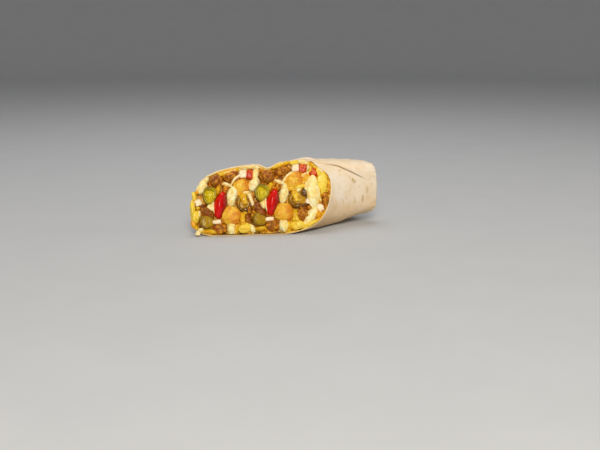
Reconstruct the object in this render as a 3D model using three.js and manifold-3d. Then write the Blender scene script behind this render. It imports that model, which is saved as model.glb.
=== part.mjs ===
import * as THREE from "three";
import { mergeVertices } from "three/addons/utils/BufferGeometryUtils.js";
import Module from "manifold-3d";

// A burrito cut open on a long slant. X runs along the roll from the tip of
// the cut to the folded end, and Z is up. Lengths are millimetres, and angles
// are degrees.

const wasm = await Module();
wasm.setup();

// The roll, at equal steps along it. The belt is the height of the widest line
// as a share of the section, and the last three say how square the section is
// at the near top, the far top and below: 2 is round and 5 nearly a corner.
const ROLL_LENGTH = 172;
const SECTIONS = [
  { width: 72, top: 66, under: -0.3, side: 1, belt: 0.52, near: 2.1, far: 2.5, below: 2.6 },
  { width: 90, top: 62.5, under: -1, side: 0, belt: 0.46, near: 2.1, far: 2.5, below: 2.5 },
  { width: 84, top: 60.2, under: -1, side: 0, belt: 0.43, near: 2.05, far: 2.4, below: 2.3 },
  { width: 64, top: 61.5, under: -1.2, side: 0, belt: 0.42, near: 2.3, far: 2.5, below: 2.5 },
  { width: 59, top: 56.5, under: 7.5, side: -9.5, belt: 0.3, near: 4.8, far: 3.6, below: 2.3 },
];
const CREST_FORWARD = 3.6;
const DIP = { at: 76.8, reach: 7.4, rise: -2.4 }; // between the rim's two arches
const LIP = { at: 108, reach: 13, rise: 4.6, angle: 101, spread: 12 }; // lifted corner
const BACK_WALL = 35.4; // where the cut's foot meets the far wall
const EXTRA_LENGTH = 26; // roll in front of the cut, which the cut takes away

// The tortilla
const WALL = 1.6;
const LAYER = 1.3; // step of the wrap's free edge
const SEAM = [
  { at: 96, angle: 84 },
  { at: 112, angle: 95 },
  { at: 128, angle: 118 },
  { at: 144, angle: 132 },
  { at: 160, angle: 152 },
  { at: 176, angle: 166 },
];
const END_ROUND = 2.2;
const FLAP = 1.4; // thickness of the folded flap on the end
const TUCK = 0.7;
const GAP = 0.3; // free space between neighbours
const ROOMY = 1.08;

// The cut
const CUT_ANGLE = 36;
const CUT_LEAN = 22.5;
const CUT_BLOCK = { at: [74, 36], along: 186, up: 104, depth: 120 };
const FILLING_BACK = 1.8; // the filling's own face lies this far behind the rim
const CURD = { size: 5.2, height: 1.9 };

const rad = THREE.MathUtils.degToRad;
const lerp = THREE.MathUtils.lerp;

function bell(distance, reach) {
  return Math.exp(-((distance / reach) ** 2));
}

// Smooth value through equally spaced stations, t from 0 to 1.
function through(values, t) {
  const steps = values.length - 1;
  const place = THREE.MathUtils.clamp(t, 0, 1) * steps;
  const i = Math.min(Math.floor(place), steps - 1);
  const f = place - i;
  const v = (k) => values[THREE.MathUtils.clamp(k, 0, steps)];
  const [a, b, c, d] = [v(i - 1), v(i), v(i + 1), v(i + 2)];
  const square = 2 * a - 5 * b + 4 * c - d;
  const cube = 3 * b - a - 3 * c + d;
  return 0.5 * (2 * b + (c - a) * f + square * f ** 2 + cube * f ** 3);
}

// Point of the roll's skin at s along it. Angle 0 is the far side, 90 the top
// and 180 the near side. Grow moves the skin outwards, or inwards if negative.
function skin(s, angle, grow = 0) {
  const at = (key) =>
    through(
      SECTIONS.map((section) => section[key]),
      s / ROLL_LENGTH,
    );
  const [cos, sin] = [Math.cos(angle), Math.sin(angle)];
  const power = 2 / at(sin < 0 ? "below" : cos < 0 ? "near" : "far");
  const across = Math.sign(cos) * Math.abs(cos) ** power;
  const up = Math.sign(sin) * Math.abs(sin) ** power;
  const [top, under] = [at("top") + grow, at("under") - grow];
  const belt = lerp(under, top, at("belt"));
  const lift = Math.max(up, 0);
  const dip = DIP.rise * bell(s - DIP.at, DIP.reach) * lift;
  const aside = THREE.MathUtils.radToDeg(angle % (2 * Math.PI)) - LIP.angle;
  const beyond = Math.max(s - LIP.at, 0);
  const lip = LIP.rise * bell(beyond, LIP.reach) * bell(aside, LIP.spread);
  const y =
    at("side") +
    (at("width") / 2 + grow) * across -
    CREST_FORWARD * lift * (1 - across ** 2);
  const z = belt + up * (up > 0 ? top - belt : belt - under) + dip + lip;
  return new THREE.Vector3(s, y, Math.max(z, -grow, 0));
}

function seamAngle(s) {
  const last = SEAM.length - 1;
  const t = (s - SEAM[0].at) / (SEAM[last].at - SEAM[0].at);
  return rad(
    through(
      SEAM.map((point) => point.angle),
      t,
    ),
  );
}

// Closed surface through rings of equally many points, with a fan on each end.
function loft(rings) {
  const count = rings[0].length;
  const middle = (ring) =>
    ring
      .reduce((sum, p) => sum.add(p), new THREE.Vector3())
      .divideScalar(count);
  const points = [
    ...rings.flat(),
    middle(rings[0]),
    middle(rings[rings.length - 1]),
  ];
  const first = points.length - 2;
  const index = [];
  rings.slice(1).forEach((_, i) => {
    for (let j = 0; j < count; j++) {
      const [a, b] = [i * count + j, i * count + ((j + 1) % count)];
      index.push(a, b, a + count, b, b + count, a + count);
    }
  });
  const foot = (rings.length - 1) * count;
  for (let j = 0; j < count; j++) {
    const next = (j + 1) % count;
    index.push(first, next, j, first + 1, foot + j, foot + next);
  }
  return new THREE.BufferGeometry().setFromPoints(points).setIndex(index);
}

function toSolid(geometry) {
  const bare = geometry.clone();
  bare.deleteAttribute("normal");
  bare.deleteAttribute("uv");
  const merged = mergeVertices(bare, 1e-3);
  return new wasm.Manifold(
    new wasm.Mesh({
      numProp: 3,
      vertProperties: merged.attributes.position.array,
      triVerts: new Uint32Array(merged.index.array),
    }),
  );
}

function toGeometry(solid) {
  const { numProp, numVert, vertProperties, triVerts } = solid.getMesh();
  const positions = new Float32Array(numVert * 3);
  for (let i = 0; i < numVert; i++) {
    const from = i * numProp;
    positions.set(vertProperties.subarray(from, from + 3), i * 3);
  }
  const geometry = new THREE.BufferGeometry();
  geometry.setAttribute("position", new THREE.BufferAttribute(positions, 3));
  geometry.setIndex(new THREE.BufferAttribute(triVerts, 1));
  geometry.computeVertexNormals();
  return geometry;
}

// The largest body of a solid, so that no loose scrap is kept.
function largest(solid) {
  return solid
    .decompose()
    .reduce((best, body) => (body.volume() > best.volume() ? body : best));
}

// Rings of the roll from in front of the cut to the folded end, which turns in
// with a small radius and closes flat.
function rollRings(count, steps, shape, end, round) {
  const rings = [];
  const straight = end - round;
  const ring = (s, inset) =>
    Array.from({ length: count }, (_, j) => shape(s, j / count, inset));
  for (let i = 0; i <= steps; i++)
    rings.push(ring(lerp(-EXTRA_LENGTH, straight, i / steps), 0));
  for (const turn of [rad(45), rad(90)]) {
    const s = straight + round * Math.sin(turn);
    rings.push(ring(s, round * (1 - Math.cos(turn))));
  }
  return rings;
}

// The outer skin starts low at the wrap's free edge, goes round, and ends high
// over its own start, so that the edge stands up as a step.
function outerRoll() {
  const count = 38;
  const { smoothstep } = THREE.MathUtils;
  const shape = (s, turn, inset) => {
    const share = (turn * count) / (count - 1);
    const step = smoothstep(share, 0.7, 1) - 1 + smoothstep(share, 0, 0.25);
    const fade = smoothstep(ROLL_LENGTH - s, 2, 14);
    const layer = 0.5 * LAYER * step * fade;
    return skin(s, seamAngle(s) + 2 * Math.PI * share, layer - inset);
  };
  return loft(rollRings(count, 26, shape, ROLL_LENGTH, END_ROUND));
}

function innerRoll(inset) {
  const shape = (s, turn, extra) => skin(s, 2 * Math.PI * turn, -inset - extra);
  return loft(rollRings(20, 12, shape, ROLL_LENGTH - 2 * inset, 2));
}

// Frame of the cut: along its foot from the tip, up its slope, and out of it.
function cutAxes() {
  const [plan, lean] = [rad(CUT_ANGLE), rad(CUT_LEAN)];
  const along = new THREE.Vector3(Math.cos(plan), -Math.sin(plan), 0);
  const out = new THREE.Vector3(
    -Math.sin(plan) * Math.cos(lean),
    -Math.cos(plan) * Math.cos(lean),
    Math.sin(lean),
  );
  return { along, up: out.clone().cross(along), out };
}

const cut = cutAxes();

// Matrix that puts a piece at a place along and up the cut, rolled in the cut's
// plane and swung about the piece's own upright.
function onCut({ at: [along, up], out = 0, roll = 0, swing = 0 }) {
  const place = new THREE.Vector3(0, BACK_WALL, 0)
    .addScaledVector(cut.along, along)
    .addScaledVector(cut.up, up)
    .addScaledVector(cut.out, out);
  return new THREE.Matrix4()
    .makeBasis(cut.along, cut.up, cut.out)
    .setPosition(place)
    .multiply(new THREE.Matrix4().makeRotationZ(rad(roll)))
    .multiply(new THREE.Matrix4().makeRotationY(rad(swing)));
}

// Repeatable lumps: a smooth sum of waves, from about -1 to 1.
function lumps(p, size, seed) {
  const [x, y, z] = [p.x / size, p.y / size, p.z / size];
  return (
    (Math.sin(2.1 * x + 1.3 * y + seed) +
      Math.sin(2.6 * y - 1.7 * z + 2.3 * seed) +
      Math.sin(2.3 * z + 1.9 * x - 1.1 * y + 3.7 * seed)) /
    3
  );
}

// Block in front of the cut whose back face follows a height function.
function cutBlock(height, stepsAlong, stepsUp) {
  const { at, along, up, depth } = CUT_BLOCK;
  const block = new THREE.BoxGeometry(along, up, depth, stepsAlong, stepsUp, 1);
  const points = block.attributes.position;
  const p = new THREE.Vector3();
  for (let i = 0; i < points.count; i++) {
    p.fromBufferAttribute(points, i);
    if (p.z < 0) points.setZ(i, p.z + height(p.x, p.y));
  }
  block.translate(0, 0, depth / 2);
  return toSolid(block.applyMatrix4(onCut({ at })));
}

// The knife leaves the tortilla's rim a little wavy.
function rimHeight(x, y) {
  return 0.8 * Math.sin(x / 9 + 0.6) * Math.cos(y / 13) + 0.5 * Math.sin(x / 4);
}

// The filling's face is curds of egg and melted cheese, sunk behind the rim.
function curdHeight(x, y) {
  const p = new THREE.Vector3(x, y, 0);
  return CURD.height * lumps(p, CURD.size, 1.3) - FILLING_BACK;
}

// Outline of the folded end between two angles, pulled in by an inset.
function endOutline(from, to, inset, steps) {
  return Array.from({ length: steps + 1 }, (_, i) => {
    const p = skin(ROLL_LENGTH, rad(lerp(from, to, i / steps)), -inset);
    return new THREE.Vector2(p.y, p.z);
  });
}

// A flat fold that lies on the end: its outline is drawn in Y and Z.
function endFold(shape, thickness) {
  const sunk = 1;
  const fold = new THREE.ExtrudeGeometry(shape, {
    depth: thickness + sunk,
    bevelEnabled: false,
    curveSegments: 10,
  });
  // turns the drawing's X and Y to Y and Z, and its depth to X
  const turn = new THREE.Matrix4().makeBasis(
    new THREE.Vector3(0, 1, 0),
    new THREE.Vector3(0, 0, 1),
    new THREE.Vector3(1, 0, 0),
  );
  fold.applyMatrix4(turn).translate(ROLL_LENGTH - sunk, 0, 0);
  return toSolid(fold);
}

// The end is shut by a tongue folded down from above over two tucks from the
// sides.
function endFolds() {
  const { side, top, under } = SECTIONS[SECTIONS.length - 1];
  const height = (share) => lerp(under, top, share);
  const inset = END_ROUND + 0.6;
  const hem = endOutline(18, 160, inset, 12);
  const [start, tip, drop] = [hem[0], height(0.2), height(0.5)];
  const tongue = new THREE.Shape(hem);
  tongue.bezierCurveTo(side - 21, drop, side - 15, tip, side - 1, tip);
  tongue.bezierCurveTo(side + 13, tip, side + 21, drop, start.x, start.y - 1);
  const tuck = (from, to, reach) => {
    const outline = endOutline(from, to, inset, 8);
    const meet = new THREE.Vector2(side + reach, height(0.3));
    return new THREE.Shape([...outline, meet]);
  };
  return [
    endFold(tongue, FLAP),
    endFold(tuck(166, 250, -4), TUCK),
    endFold(tuck(290, 374, 3), TUCK),
  ];
}

function makeTortilla() {
  const folded = endFolds().reduce(
    (body, fold) => body.add(fold),
    toSolid(outerRoll()),
  );
  const hollow = folded.subtract(toSolid(innerRoll(WALL)));
  return largest(hollow.subtract(cutBlock(rimHeight, 26, 1)));
}

// Forms of the pieces, each inside a box of the sizes given. Where a form is
// asked for as a space, it may have fewer faces, and is then larger by ROOMY.

// Moves each point of a form round its middle to a new length.
function reshape(form, length) {
  const points = form.attributes.position;
  const p = new THREE.Vector3();
  for (let i = 0; i < points.count; i++) {
    p.fromBufferAttribute(points, i);
    p.setLength(length(p));
    points.setXYZ(i, p.x, p.y, p.z);
  }
  return form;
}

function lumpyBall([wide, high, deep], { seed }) {
  const ball = new THREE.SphereGeometry(1, 8, 6);
  reshape(ball, (p) => 1 + 0.14 * lumps(p, 0.55, seed));
  return ball.scale(wide / 2, high / 2, deep / 2);
}

// A dice with bulging faces and knocked-off corners.
function dice([wide, high, deep], { seed, space }) {
  if (space) return new THREE.BoxGeometry(wide, high, deep);
  const cube = new THREE.BoxGeometry(1.7, 1.7, 1.7, 2, 2, 2);
  const rounding = 0.45;
  reshape(cube, (p) => lerp(p.length(), 1, rounding) + 0.05 * lumps(p, 0.5, seed));
  return cube.scale(wide / 1.9, high / 1.9, deep / 1.9);
}

// A potato tot: a stubby cylinder with a crumbly skin, its end to the front.
function tot([wide, high, deep], { seed, space }) {
  const [radius, straight] = [0.62, 0.76];
  const barrel = new THREE.CapsuleGeometry(radius, straight, 2, space ? 9 : 12);
  barrel.rotateX(Math.PI / 2);
  const room = space ? ROOMY : 1;
  reshape(barrel, (p) => p.length() * (1 + 0.04 * lumps(p, 0.2, seed)) * room);
  return barrel.scale(wide / 2 / radius, high / 2 / radius, deep / 2);
}

// A pepper slice: a ring of flesh round a sunk middle with its seeds. Its space
// has no such hollow.
function pepperRing([wide, high, deep], { space }) {
  const half = deep / 2;
  const hollow = [
    [0.7, half * 0.9],
    [0.58, half * 0.25],
    [0.34, half * 0.6],
  ];
  const outline = [
    [0, -half * 0.8],
    [0.84, -half],
    [1, -half * 0.4],
    [1, half * 0.4],
    [0.86, half],
    ...(space ? [] : hollow),
    [0, half * (space ? 1 : 0.75)],
  ].map(([x, y]) => new THREE.Vector2(x, y));
  const ring = new THREE.LatheGeometry(outline, 9);
  return ring.rotateX(Math.PI / 2).scale(wide / 2, high / 2, 1);
}

// A wedge of tomato: round skin outside, narrower in front, and bent back at
// both ends.
function tomatoWedge([wide, high, deep], { space }) {
  const [around, down] = space ? [8, 6] : [10, 8];
  const wedge = new THREE.SphereGeometry(space ? ROOMY : 1, around, down);
  const points = wedge.attributes.position;
  for (let i = 0; i < points.count; i++) {
    const [x, y, z] = [points.getX(i), points.getY(i), points.getZ(i)];
    points.setX(i, x * (1 - 0.2 * z));
    points.setZ(i, z - 0.25 * y ** 2);
  }
  return wedge.scale(wide / 2, high / 2, deep / 2);
}

const KINDS = {
  tot: { form: tot, colour: 0xe09a32, rough: 0.7 },
  jalapeno: { form: pepperRing, colour: 0x8b8f2a, rough: 0.35 },
  tomato_wedge: { form: tomatoWedge, colour: 0xc9190f, rough: 0.25 },
  tomato: { form: dice, colour: 0xd2472f, rough: 0.35 },
  onion: { form: dice, colour: 0xf7ead0, rough: 0.4 },
  egg: { form: lumpyBall, colour: 0xf6e39a, rough: 0.55 },
  sausage: { form: lumpyBall, colour: 0x8a4a22, rough: 0.65 },
};

// What shows on each half of the cut, front pieces first. The halves of the
// cut look much alike, so one list serves both. A piece is at a place along and
// up the cut, has a size along, up and into it, and its middle may stand out.
// What b gives is added on the second half alone.
const LOBES = [
  { mark: "a", at: [0, 0], seed: 1 },
  { mark: "b", at: [46.6, 1.8], seed: 2 },
];
const LOBE_PIECES = [
  { kind: "tomato_wedge", at: [36.4, 27.6], size: [11, 23, 12], roll: -13, out: -1 },
  { kind: "tot", name: "low", at: [46.4, 18.4], size: [17.7, 17, 25], out: -8, b: { at: [0, 0.6] } },
  { kind: "jalapeno", name: "high", at: [27, 36], size: [13, 14.5, 5.5], swing: -20, out: -1.5 },
  {
    kind: "jalapeno",
    name: "mid",
    at: [58.4, 30.4],
    size: [12.5, 16, 5.5],
    swing: 14,
    out: -2.5,
    b: { at: [3, 1], size: [7, 0, 0] },
  },
  {
    kind: "tot",
    name: "high",
    at: [56.4, 45.6],
    size: [14, 13.5, 22],
    roll: 30,
    out: -8,
    b: { at: [0.6, 2.4], size: [3.5, 0, 0] },
  },
  { kind: "egg", name: "herb", at: [47.6, 36], size: [8.5, 18, 9], roll: -10, out: -2 },
  { kind: "jalapeno", name: "low", at: [25, 13.2], size: [13, 12, 6], swing: 25, out: -2 },
  { kind: "sausage", name: "top", at: [33.7, 51.6], size: [12.5, 10.5, 11], out: -3, b: { at: [0, 1] } },
  {
    kind: "sausage",
    name: "crest",
    at: [47.4, 55.4],
    size: [14, 8, 10],
    roll: 12,
    out: -3.5,
    b: { at: [0, 2.2] },
  },
  { kind: "sausage", name: "mid", at: [42.6, 43], size: [7.5, 8.5, 9], out: -4 },
  { kind: "sausage", name: "side", at: [25.4, 22], size: [9.5, 14.5, 10], roll: 38, out: -3 },
  { kind: "sausage", name: "low", at: [36.2, 7.2], size: [13.5, 8.5, 10], out: -3 },
  { kind: "egg", name: "edge", at: [20.2, 44], size: [10.5, 10, 9], roll: 35, out: -3 },
  { kind: "egg", name: "low", at: [46.8, 6.8], size: [8, 11, 9], out: -3 },
  { kind: "egg", name: "foot", at: [58.4, 6.8], size: [11, 8, 9], out: -3 },
  { kind: "onion", name: "high", at: [57.2, 56.6], size: [6.5, 7, 6.5], out: -3, b: { at: [1.4, 3] } },
  { kind: "tomato", name: "high", at: [64.8, 56], size: [6.5, 7.5, 6.5], out: -3.5, b: { at: [0, 2.6] } },
  { kind: "onion", name: "low", at: [33.6, 13.4], size: [7, 4, 6], roll: 8, out: -2.5 },
];
// What shows once, towards the near end of the cut and at its tip.
const SINGLE_PIECES = [
  { kind: "onion", name: "pepper", at: [116.4, 30.4], size: [6.5, 4.5, 5], roll: -14, out: -1.5, seed: 13 },
  { kind: "egg", name: "large", at: [120.6, 39], size: [12.5, 28, 12], roll: 6, out: -2.5, seed: 5 },
  { kind: "egg", name: "curl", at: [118, 18], size: [7.5, 19, 9], roll: -36, out: -3.5, seed: 6 },
  { kind: "egg", name: "crown", at: [114, 65], size: [13, 7, 9], out: -3.5, seed: 12 },
  { kind: "sausage", name: "near", at: [111, 20], size: [11, 12.5, 10], roll: -20, out: -4, seed: 7 },
  { kind: "sausage", name: "rim", at: [131, 32.6], size: [7, 15, 9], roll: 6, out: -4, seed: 8 },
  { kind: "sausage", name: "nook", at: [61, 14], size: [6, 8.5, 8], out: -3.5, seed: 14 },
  { kind: "tomato", name: "near", at: [122.2, 57], size: [8, 7, 7], roll: -30, out: -3, seed: 9 },
  { kind: "onion", name: "rim", at: [127, 23], size: [6.5, 7, 5.5], roll: 30, out: -4, seed: 10 },
  { kind: "onion", name: "tip", at: [17.4, 31], size: [6, 6, 5.5], roll: 20, out: -3.4, seed: 11 },
];
// Grated cheese that lies in the filling, all of it fused to the filling.
const SHREDS = [
  { at: [42.8, 58.6], long: 17, roll: 14, b: { at: [1.6, 2.6] } },
  { at: [35, 42.6], long: 9, roll: 62 },
  { at: [58.8, 34], long: 8.5, roll: -80 },
  { at: [54.6, 15.6], long: 12, roll: -64 },
  { at: [27, 5.4], long: 14, roll: -5 },
];
const SINGLE_SHREDS = [
  { at: [15.4, 20], long: 16, roll: 84 },
  { at: [129, 47], long: 15, roll: 96 },
];
const SHRED = { wide: 3.4, deep: 3, steps: 3, bend: 1.2 };

// A short bent bar along the cut.
function shred({ at, long, roll }) {
  const line = new THREE.QuadraticBezierCurve3(
    new THREE.Vector3(-long / 2, 0, 0),
    new THREE.Vector3(0, 2 * SHRED.bend, 0),
    new THREE.Vector3(long / 2, 0, 0),
  );
  const [w, d] = [SHRED.wide / 2, SHRED.deep / 2];
  const section = new THREE.Shape(
    [
      [-d, -w],
      [d, -w],
      [d, w],
      [-d, w],
    ].map(([x, y]) => new THREE.Vector2(x, y)),
  );
  const bar = new THREE.ExtrudeGeometry(section, {
    steps: SHRED.steps,
    extrudePath: line,
  });
  return toSolid(bar.applyMatrix4(onCut({ at, roll, out: -3 })));
}

// A piece, or the slightly larger space that its neighbours leave for it.
function makePiece(piece, grow = 0) {
  const size = piece.size.map((length) => length + grow);
  const form = KINDS[piece.kind].form(size, { seed: piece.seed, space: grow > 0 });
  return toSolid(form.applyMatrix4(onCut(piece)));
}

// One half's copy of a piece, with what is added on the second half.
function forLobe(piece, lobe) {
  const extra = (lobe.mark === "b" && piece.b) || {};
  const sum = (list, ...more) =>
    list.map((value, i) => more.reduce((total, m) => total + (m?.[i] ?? 0), value));
  const copy = { ...piece, at: sum(piece.at, lobe.at, extra.at) };
  if (extra.size) copy.size = sum(piece.size, extra.size);
  return copy;
}

function listPieces() {
  const named = (piece, mark) =>
    [piece.kind, piece.name, mark].filter(Boolean).join("_");
  const paired = LOBE_PIECES.flatMap((piece, i) =>
    LOBES.map((lobe) => ({
      ...forLobe(piece, lobe),
      name: named(piece, lobe.mark),
      seed: lobe.seed + 2 * i,
    })),
  );
  const single = SINGLE_PIECES.map((piece) => ({ ...piece, name: named(piece) }));
  return [...paired, ...single];
}

const group = new THREE.Group();

function addNode(name, solid, { colour, rough }) {
  const material = new THREE.MeshStandardMaterial({
    color: colour,
    roughness: rough,
    metalness: 0,
    flatShading: true,
  });
  const mesh = new THREE.Mesh(toGeometry(solid), material);
  mesh.name = name;
  group.add(mesh);
}

addNode("tortilla", makeTortilla(), { colour: 0xead9b8, rough: 0.75 });

// Each piece is cut by those in front of it, and the filling by them all.
const room = toSolid(innerRoll(WALL + GAP));
let taken = null;
for (const piece of listPieces()) {
  let solid = makePiece(piece).intersect(room);
  if (taken) solid = solid.subtract(taken);
  addNode(piece.name, largest(solid), KINDS[piece.kind]);
  const space = makePiece(piece, 2 * GAP);
  taken = taken ? taken.add(space) : space;
}

const cheese = LOBES.flatMap((lobe) => SHREDS.map((bar) => forLobe(bar, lobe)));
const bedding = room.subtract(cutBlock(curdHeight, 21, 11));
const filling = [...cheese, ...SINGLE_SHREDS]
  .reduce((body, bar) => body.add(shred(bar)), bedding)
  .intersect(room)
  .subtract(taken);
addNode("filling", largest(filling), { colour: 0xf0c75c, rough: 0.55 });

// The origin is under the middle of the whole, where it rests.
const bounds = new THREE.Box3().setFromObject(group);
const middle = bounds.getCenter(new THREE.Vector3());
group.position.set(-middle.x, -middle.y, -bounds.min.z);

export default group;
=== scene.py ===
import math

import bpy
import numpy as np
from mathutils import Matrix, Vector


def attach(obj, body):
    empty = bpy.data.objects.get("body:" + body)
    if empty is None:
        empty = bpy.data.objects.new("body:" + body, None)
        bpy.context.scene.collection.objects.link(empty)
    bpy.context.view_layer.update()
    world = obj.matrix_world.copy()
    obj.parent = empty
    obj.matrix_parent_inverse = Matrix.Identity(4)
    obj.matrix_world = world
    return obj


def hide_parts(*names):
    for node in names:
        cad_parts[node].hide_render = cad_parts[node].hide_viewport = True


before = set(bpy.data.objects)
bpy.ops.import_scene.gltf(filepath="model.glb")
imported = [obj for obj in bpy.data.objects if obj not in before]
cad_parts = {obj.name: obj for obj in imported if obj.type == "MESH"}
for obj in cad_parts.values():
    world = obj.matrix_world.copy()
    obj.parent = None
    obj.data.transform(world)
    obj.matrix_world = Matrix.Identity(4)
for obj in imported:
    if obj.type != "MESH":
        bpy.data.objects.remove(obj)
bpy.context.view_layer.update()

# A burrito cut open on a long slant. Shapes are worked out in millimetres in the cook's own axes, with X
# along the roll from the tip of the cut to the folded end, and go into the row's frame in metres.
toRow = np.array([-91.640, -3.2135, 0.0])

roll = {
    "length": 172.6,
    "front": -30.0,  # the skin starts here, in front of the tip, and the cut takes that away
    "width": [72.8, 89.7, 84.3, 64.5, 58.9],
    "top": [66.5, 62.7, 60.6, 60.2, 56.6],
    "under": [-0.3, -1, -1, -1.5, 7.7],
    "side": [0.8, 0.4, 0.6, -1.7, -10.9],
    "belt": [0.52, 0.46, 0.43, 0.42, 0.3],  # height of the widest line, as a share
    "near": [2.1, 2.1, 2.05, 2.5, 4.8],  # 2 is round and 5 nearly square
    "far": [2.25, 2.5, 2.2, 2.5, 3.6],
    "below": [3, 3.3, 2.6, 2.6, 2.9],
    "crestForward": 3.6,
    # a shallow valley between the rim's two arches, that runs back over the roll
    "dip": {"at": (79, 7.4), "way": (0.766, -0.643), "reach": 6.4, "rise": -4.2},
    "lip": {"at": 108, "reach": 13, "rise": 4.4, "angle": 101, "spread": 12},
}
cut = {
    "plan": 36, "lean": 22.5, "backWall": 35.4, "middle": (74, 36),
    "deeper": 0.8,  # how far the rim lies behind the cut on the left
    "trim": 3.0,  # how much shorter it is at the tip
    # place along and up the cut, reach and depth
    "nicks": [
        ((12, 38), 2.6, 0.9), ((16.5, 45), 2.2, 0.8), ((23, 52.5), 2.4, 0.9), ((30, 57.5), 2.6, 0.9),
        ((10.5, 7), 2.2, 0.8),
    ],
}


# A cubic over each step between equally spaced stations that passes through both of them, t from 0 to 1.
def through(values, t):
    values = np.asarray(values, float)
    steps = len(values) - 1
    place = np.clip(t, 0, 1) * steps
    i = np.minimum(np.floor(place).astype(int), steps - 1)
    f = place - i
    a, b, c, d = (values[np.clip(i + k, 0, steps)] for k in (-1, 0, 1, 2))
    square = 2 * a - 5 * b + 4 * c - d
    cube = 3 * b - a - 3 * c + d
    return 0.5 * (2 * b + (c - a) * f + square * f**2 + cube * f**3)


# 0 below low and 1 above high, or the other way round where low is the higher, with a cubic between.
def ease(x, low, high):
    t = np.clip((x - low) / (high - low), 0, 1)
    return t * t * (3 - 2 * t)


def bell(x, reach):
    return np.exp(-((x / reach) ** 2))


def blend(a, b, share):
    return a + (b - a) * share


# Evenly spaced angles of one whole turn.
def wholeTurn(count):
    return np.linspace(0, 2 * np.pi, count + 1)[:-1]


# A sum of three waves of the place, from about -1 to 1: the coarse lumps that the solids have too.
def lumps(p, size, seed):
    x, y, z = np.moveaxis(np.asarray(p, float) / size, -1, 0)
    waves = np.sin(2.1 * x + 1.3 * y + seed) + np.sin(2.6 * y - 1.7 * z + 2.3 * seed)
    return (waves + np.sin(2.3 * z + 1.9 * x - 1.1 * y + 3.7 * seed)) / 3


# A repeatable number from 0 to 1 for each whole-numbered cell.
def chance(cell, seed):
    a = cell[..., 0] * 73856093 + cell[..., 1] * 19349663 + cell[..., 2] * 83492791 + seed * 2654435
    a = (a ^ (a >> 13)) * 1274126177 & 0x7FFFFFFF
    a = (a ^ (a >> 16)) * 668265263 & 0x7FFFFFFF
    return ((a >> 7) & 0xFFFF) / 65535


# Smooth random values between the corners of a lattice, added at ever finer sizes, from about -1 to 1.
def noise(p, size, seed=0, octaves=2):
    p = np.asarray(p, float)
    total = np.zeros(p.shape[:-1])
    for k in range(octaves):
        q = p / size * 2**k + 31.7 * k + 7.3 * seed
        cell = np.floor(q).astype(np.int64)
        f = q - cell
        f = f * f * (3 - 2 * f)
        for corner in np.ndindex(2, 2, 2):
            share = np.prod(np.where(corner, f, 1 - f), axis=-1)
            total += share * (2 * chance(cell + np.array(corner), seed + k) - 1) * 0.5**k
    return total * 1.25


# Distance to the nearest of the points strewn one in each cell, in cells: domes where 0.5 less it is used.
def pebbles(p, size, seed=0):
    q = np.asarray(p, float) / size + 3.1 * seed
    cell = np.floor(q).astype(np.int64)
    nearest = np.full(q.shape[:-1], 9.0)
    for step in np.ndindex(3, 3, 3):
        home = cell + np.array(step) - 1
        point = home + np.stack([chance(home, seed + k) for k in (11, 23, 37)], -1)
        nearest = np.minimum(nearest, np.linalg.norm(q - point, axis=-1))
    return nearest


def section(key, s):
    return through(roll[key], s / roll["length"])


# How low the valley lies at a place: a bell over the distance from its line.
def valley(s, y):
    dip = roll["dip"]
    aside = (s - dip["at"][0]) * dip["way"][0] + (y - dip["at"][1]) * dip["way"][1]
    return dip["rise"] * bell(aside, dip["reach"])


# Skin of the roll. Round each section goes a curve whose across and up are powers of the cosine and sine, so
# that it can be squarer than a circle. Angle 0 is the far side, pi/2 the top and pi the near side, and grow
# moves the skin outwards. The dip and the lip are bell-shaped rises on its top.
def skin(s, angle, grow=0.0):
    s, angle, grow = np.broadcast_arrays(np.asarray(s, float), angle, grow)
    cosine, sine = np.cos(angle), np.sin(angle)
    square = np.where(cosine < 0, section("near", s), section("far", s))
    power = 2 / np.where(sine < 0, section("below", s), square)
    across = np.sign(cosine) * np.abs(cosine) ** power
    up = np.sign(sine) * np.abs(sine) ** power
    top, under = section("top", s) + grow, section("under", s) - grow
    belt = blend(under, top, section("belt", s))
    lift = np.maximum(up, 0)
    lip = roll["lip"]
    y = section("side", s) + (section("width", s) / 2 + grow) * across
    y = y - roll["crestForward"] * lift * (1 - across**2)
    aside = np.degrees(np.mod(angle, 2 * np.pi)) - lip["angle"]
    beyond = np.maximum(s - lip["at"], 0)
    rise = valley(s, y) * lift + lip["rise"] * bell(beyond, lip["reach"]) * bell(aside, lip["spread"])
    z = belt + up * np.where(up > 0, top - belt, belt - under) + rise
    return np.stack([s, y, np.maximum(z, np.maximum(-grow, 0))], -1)


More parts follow.
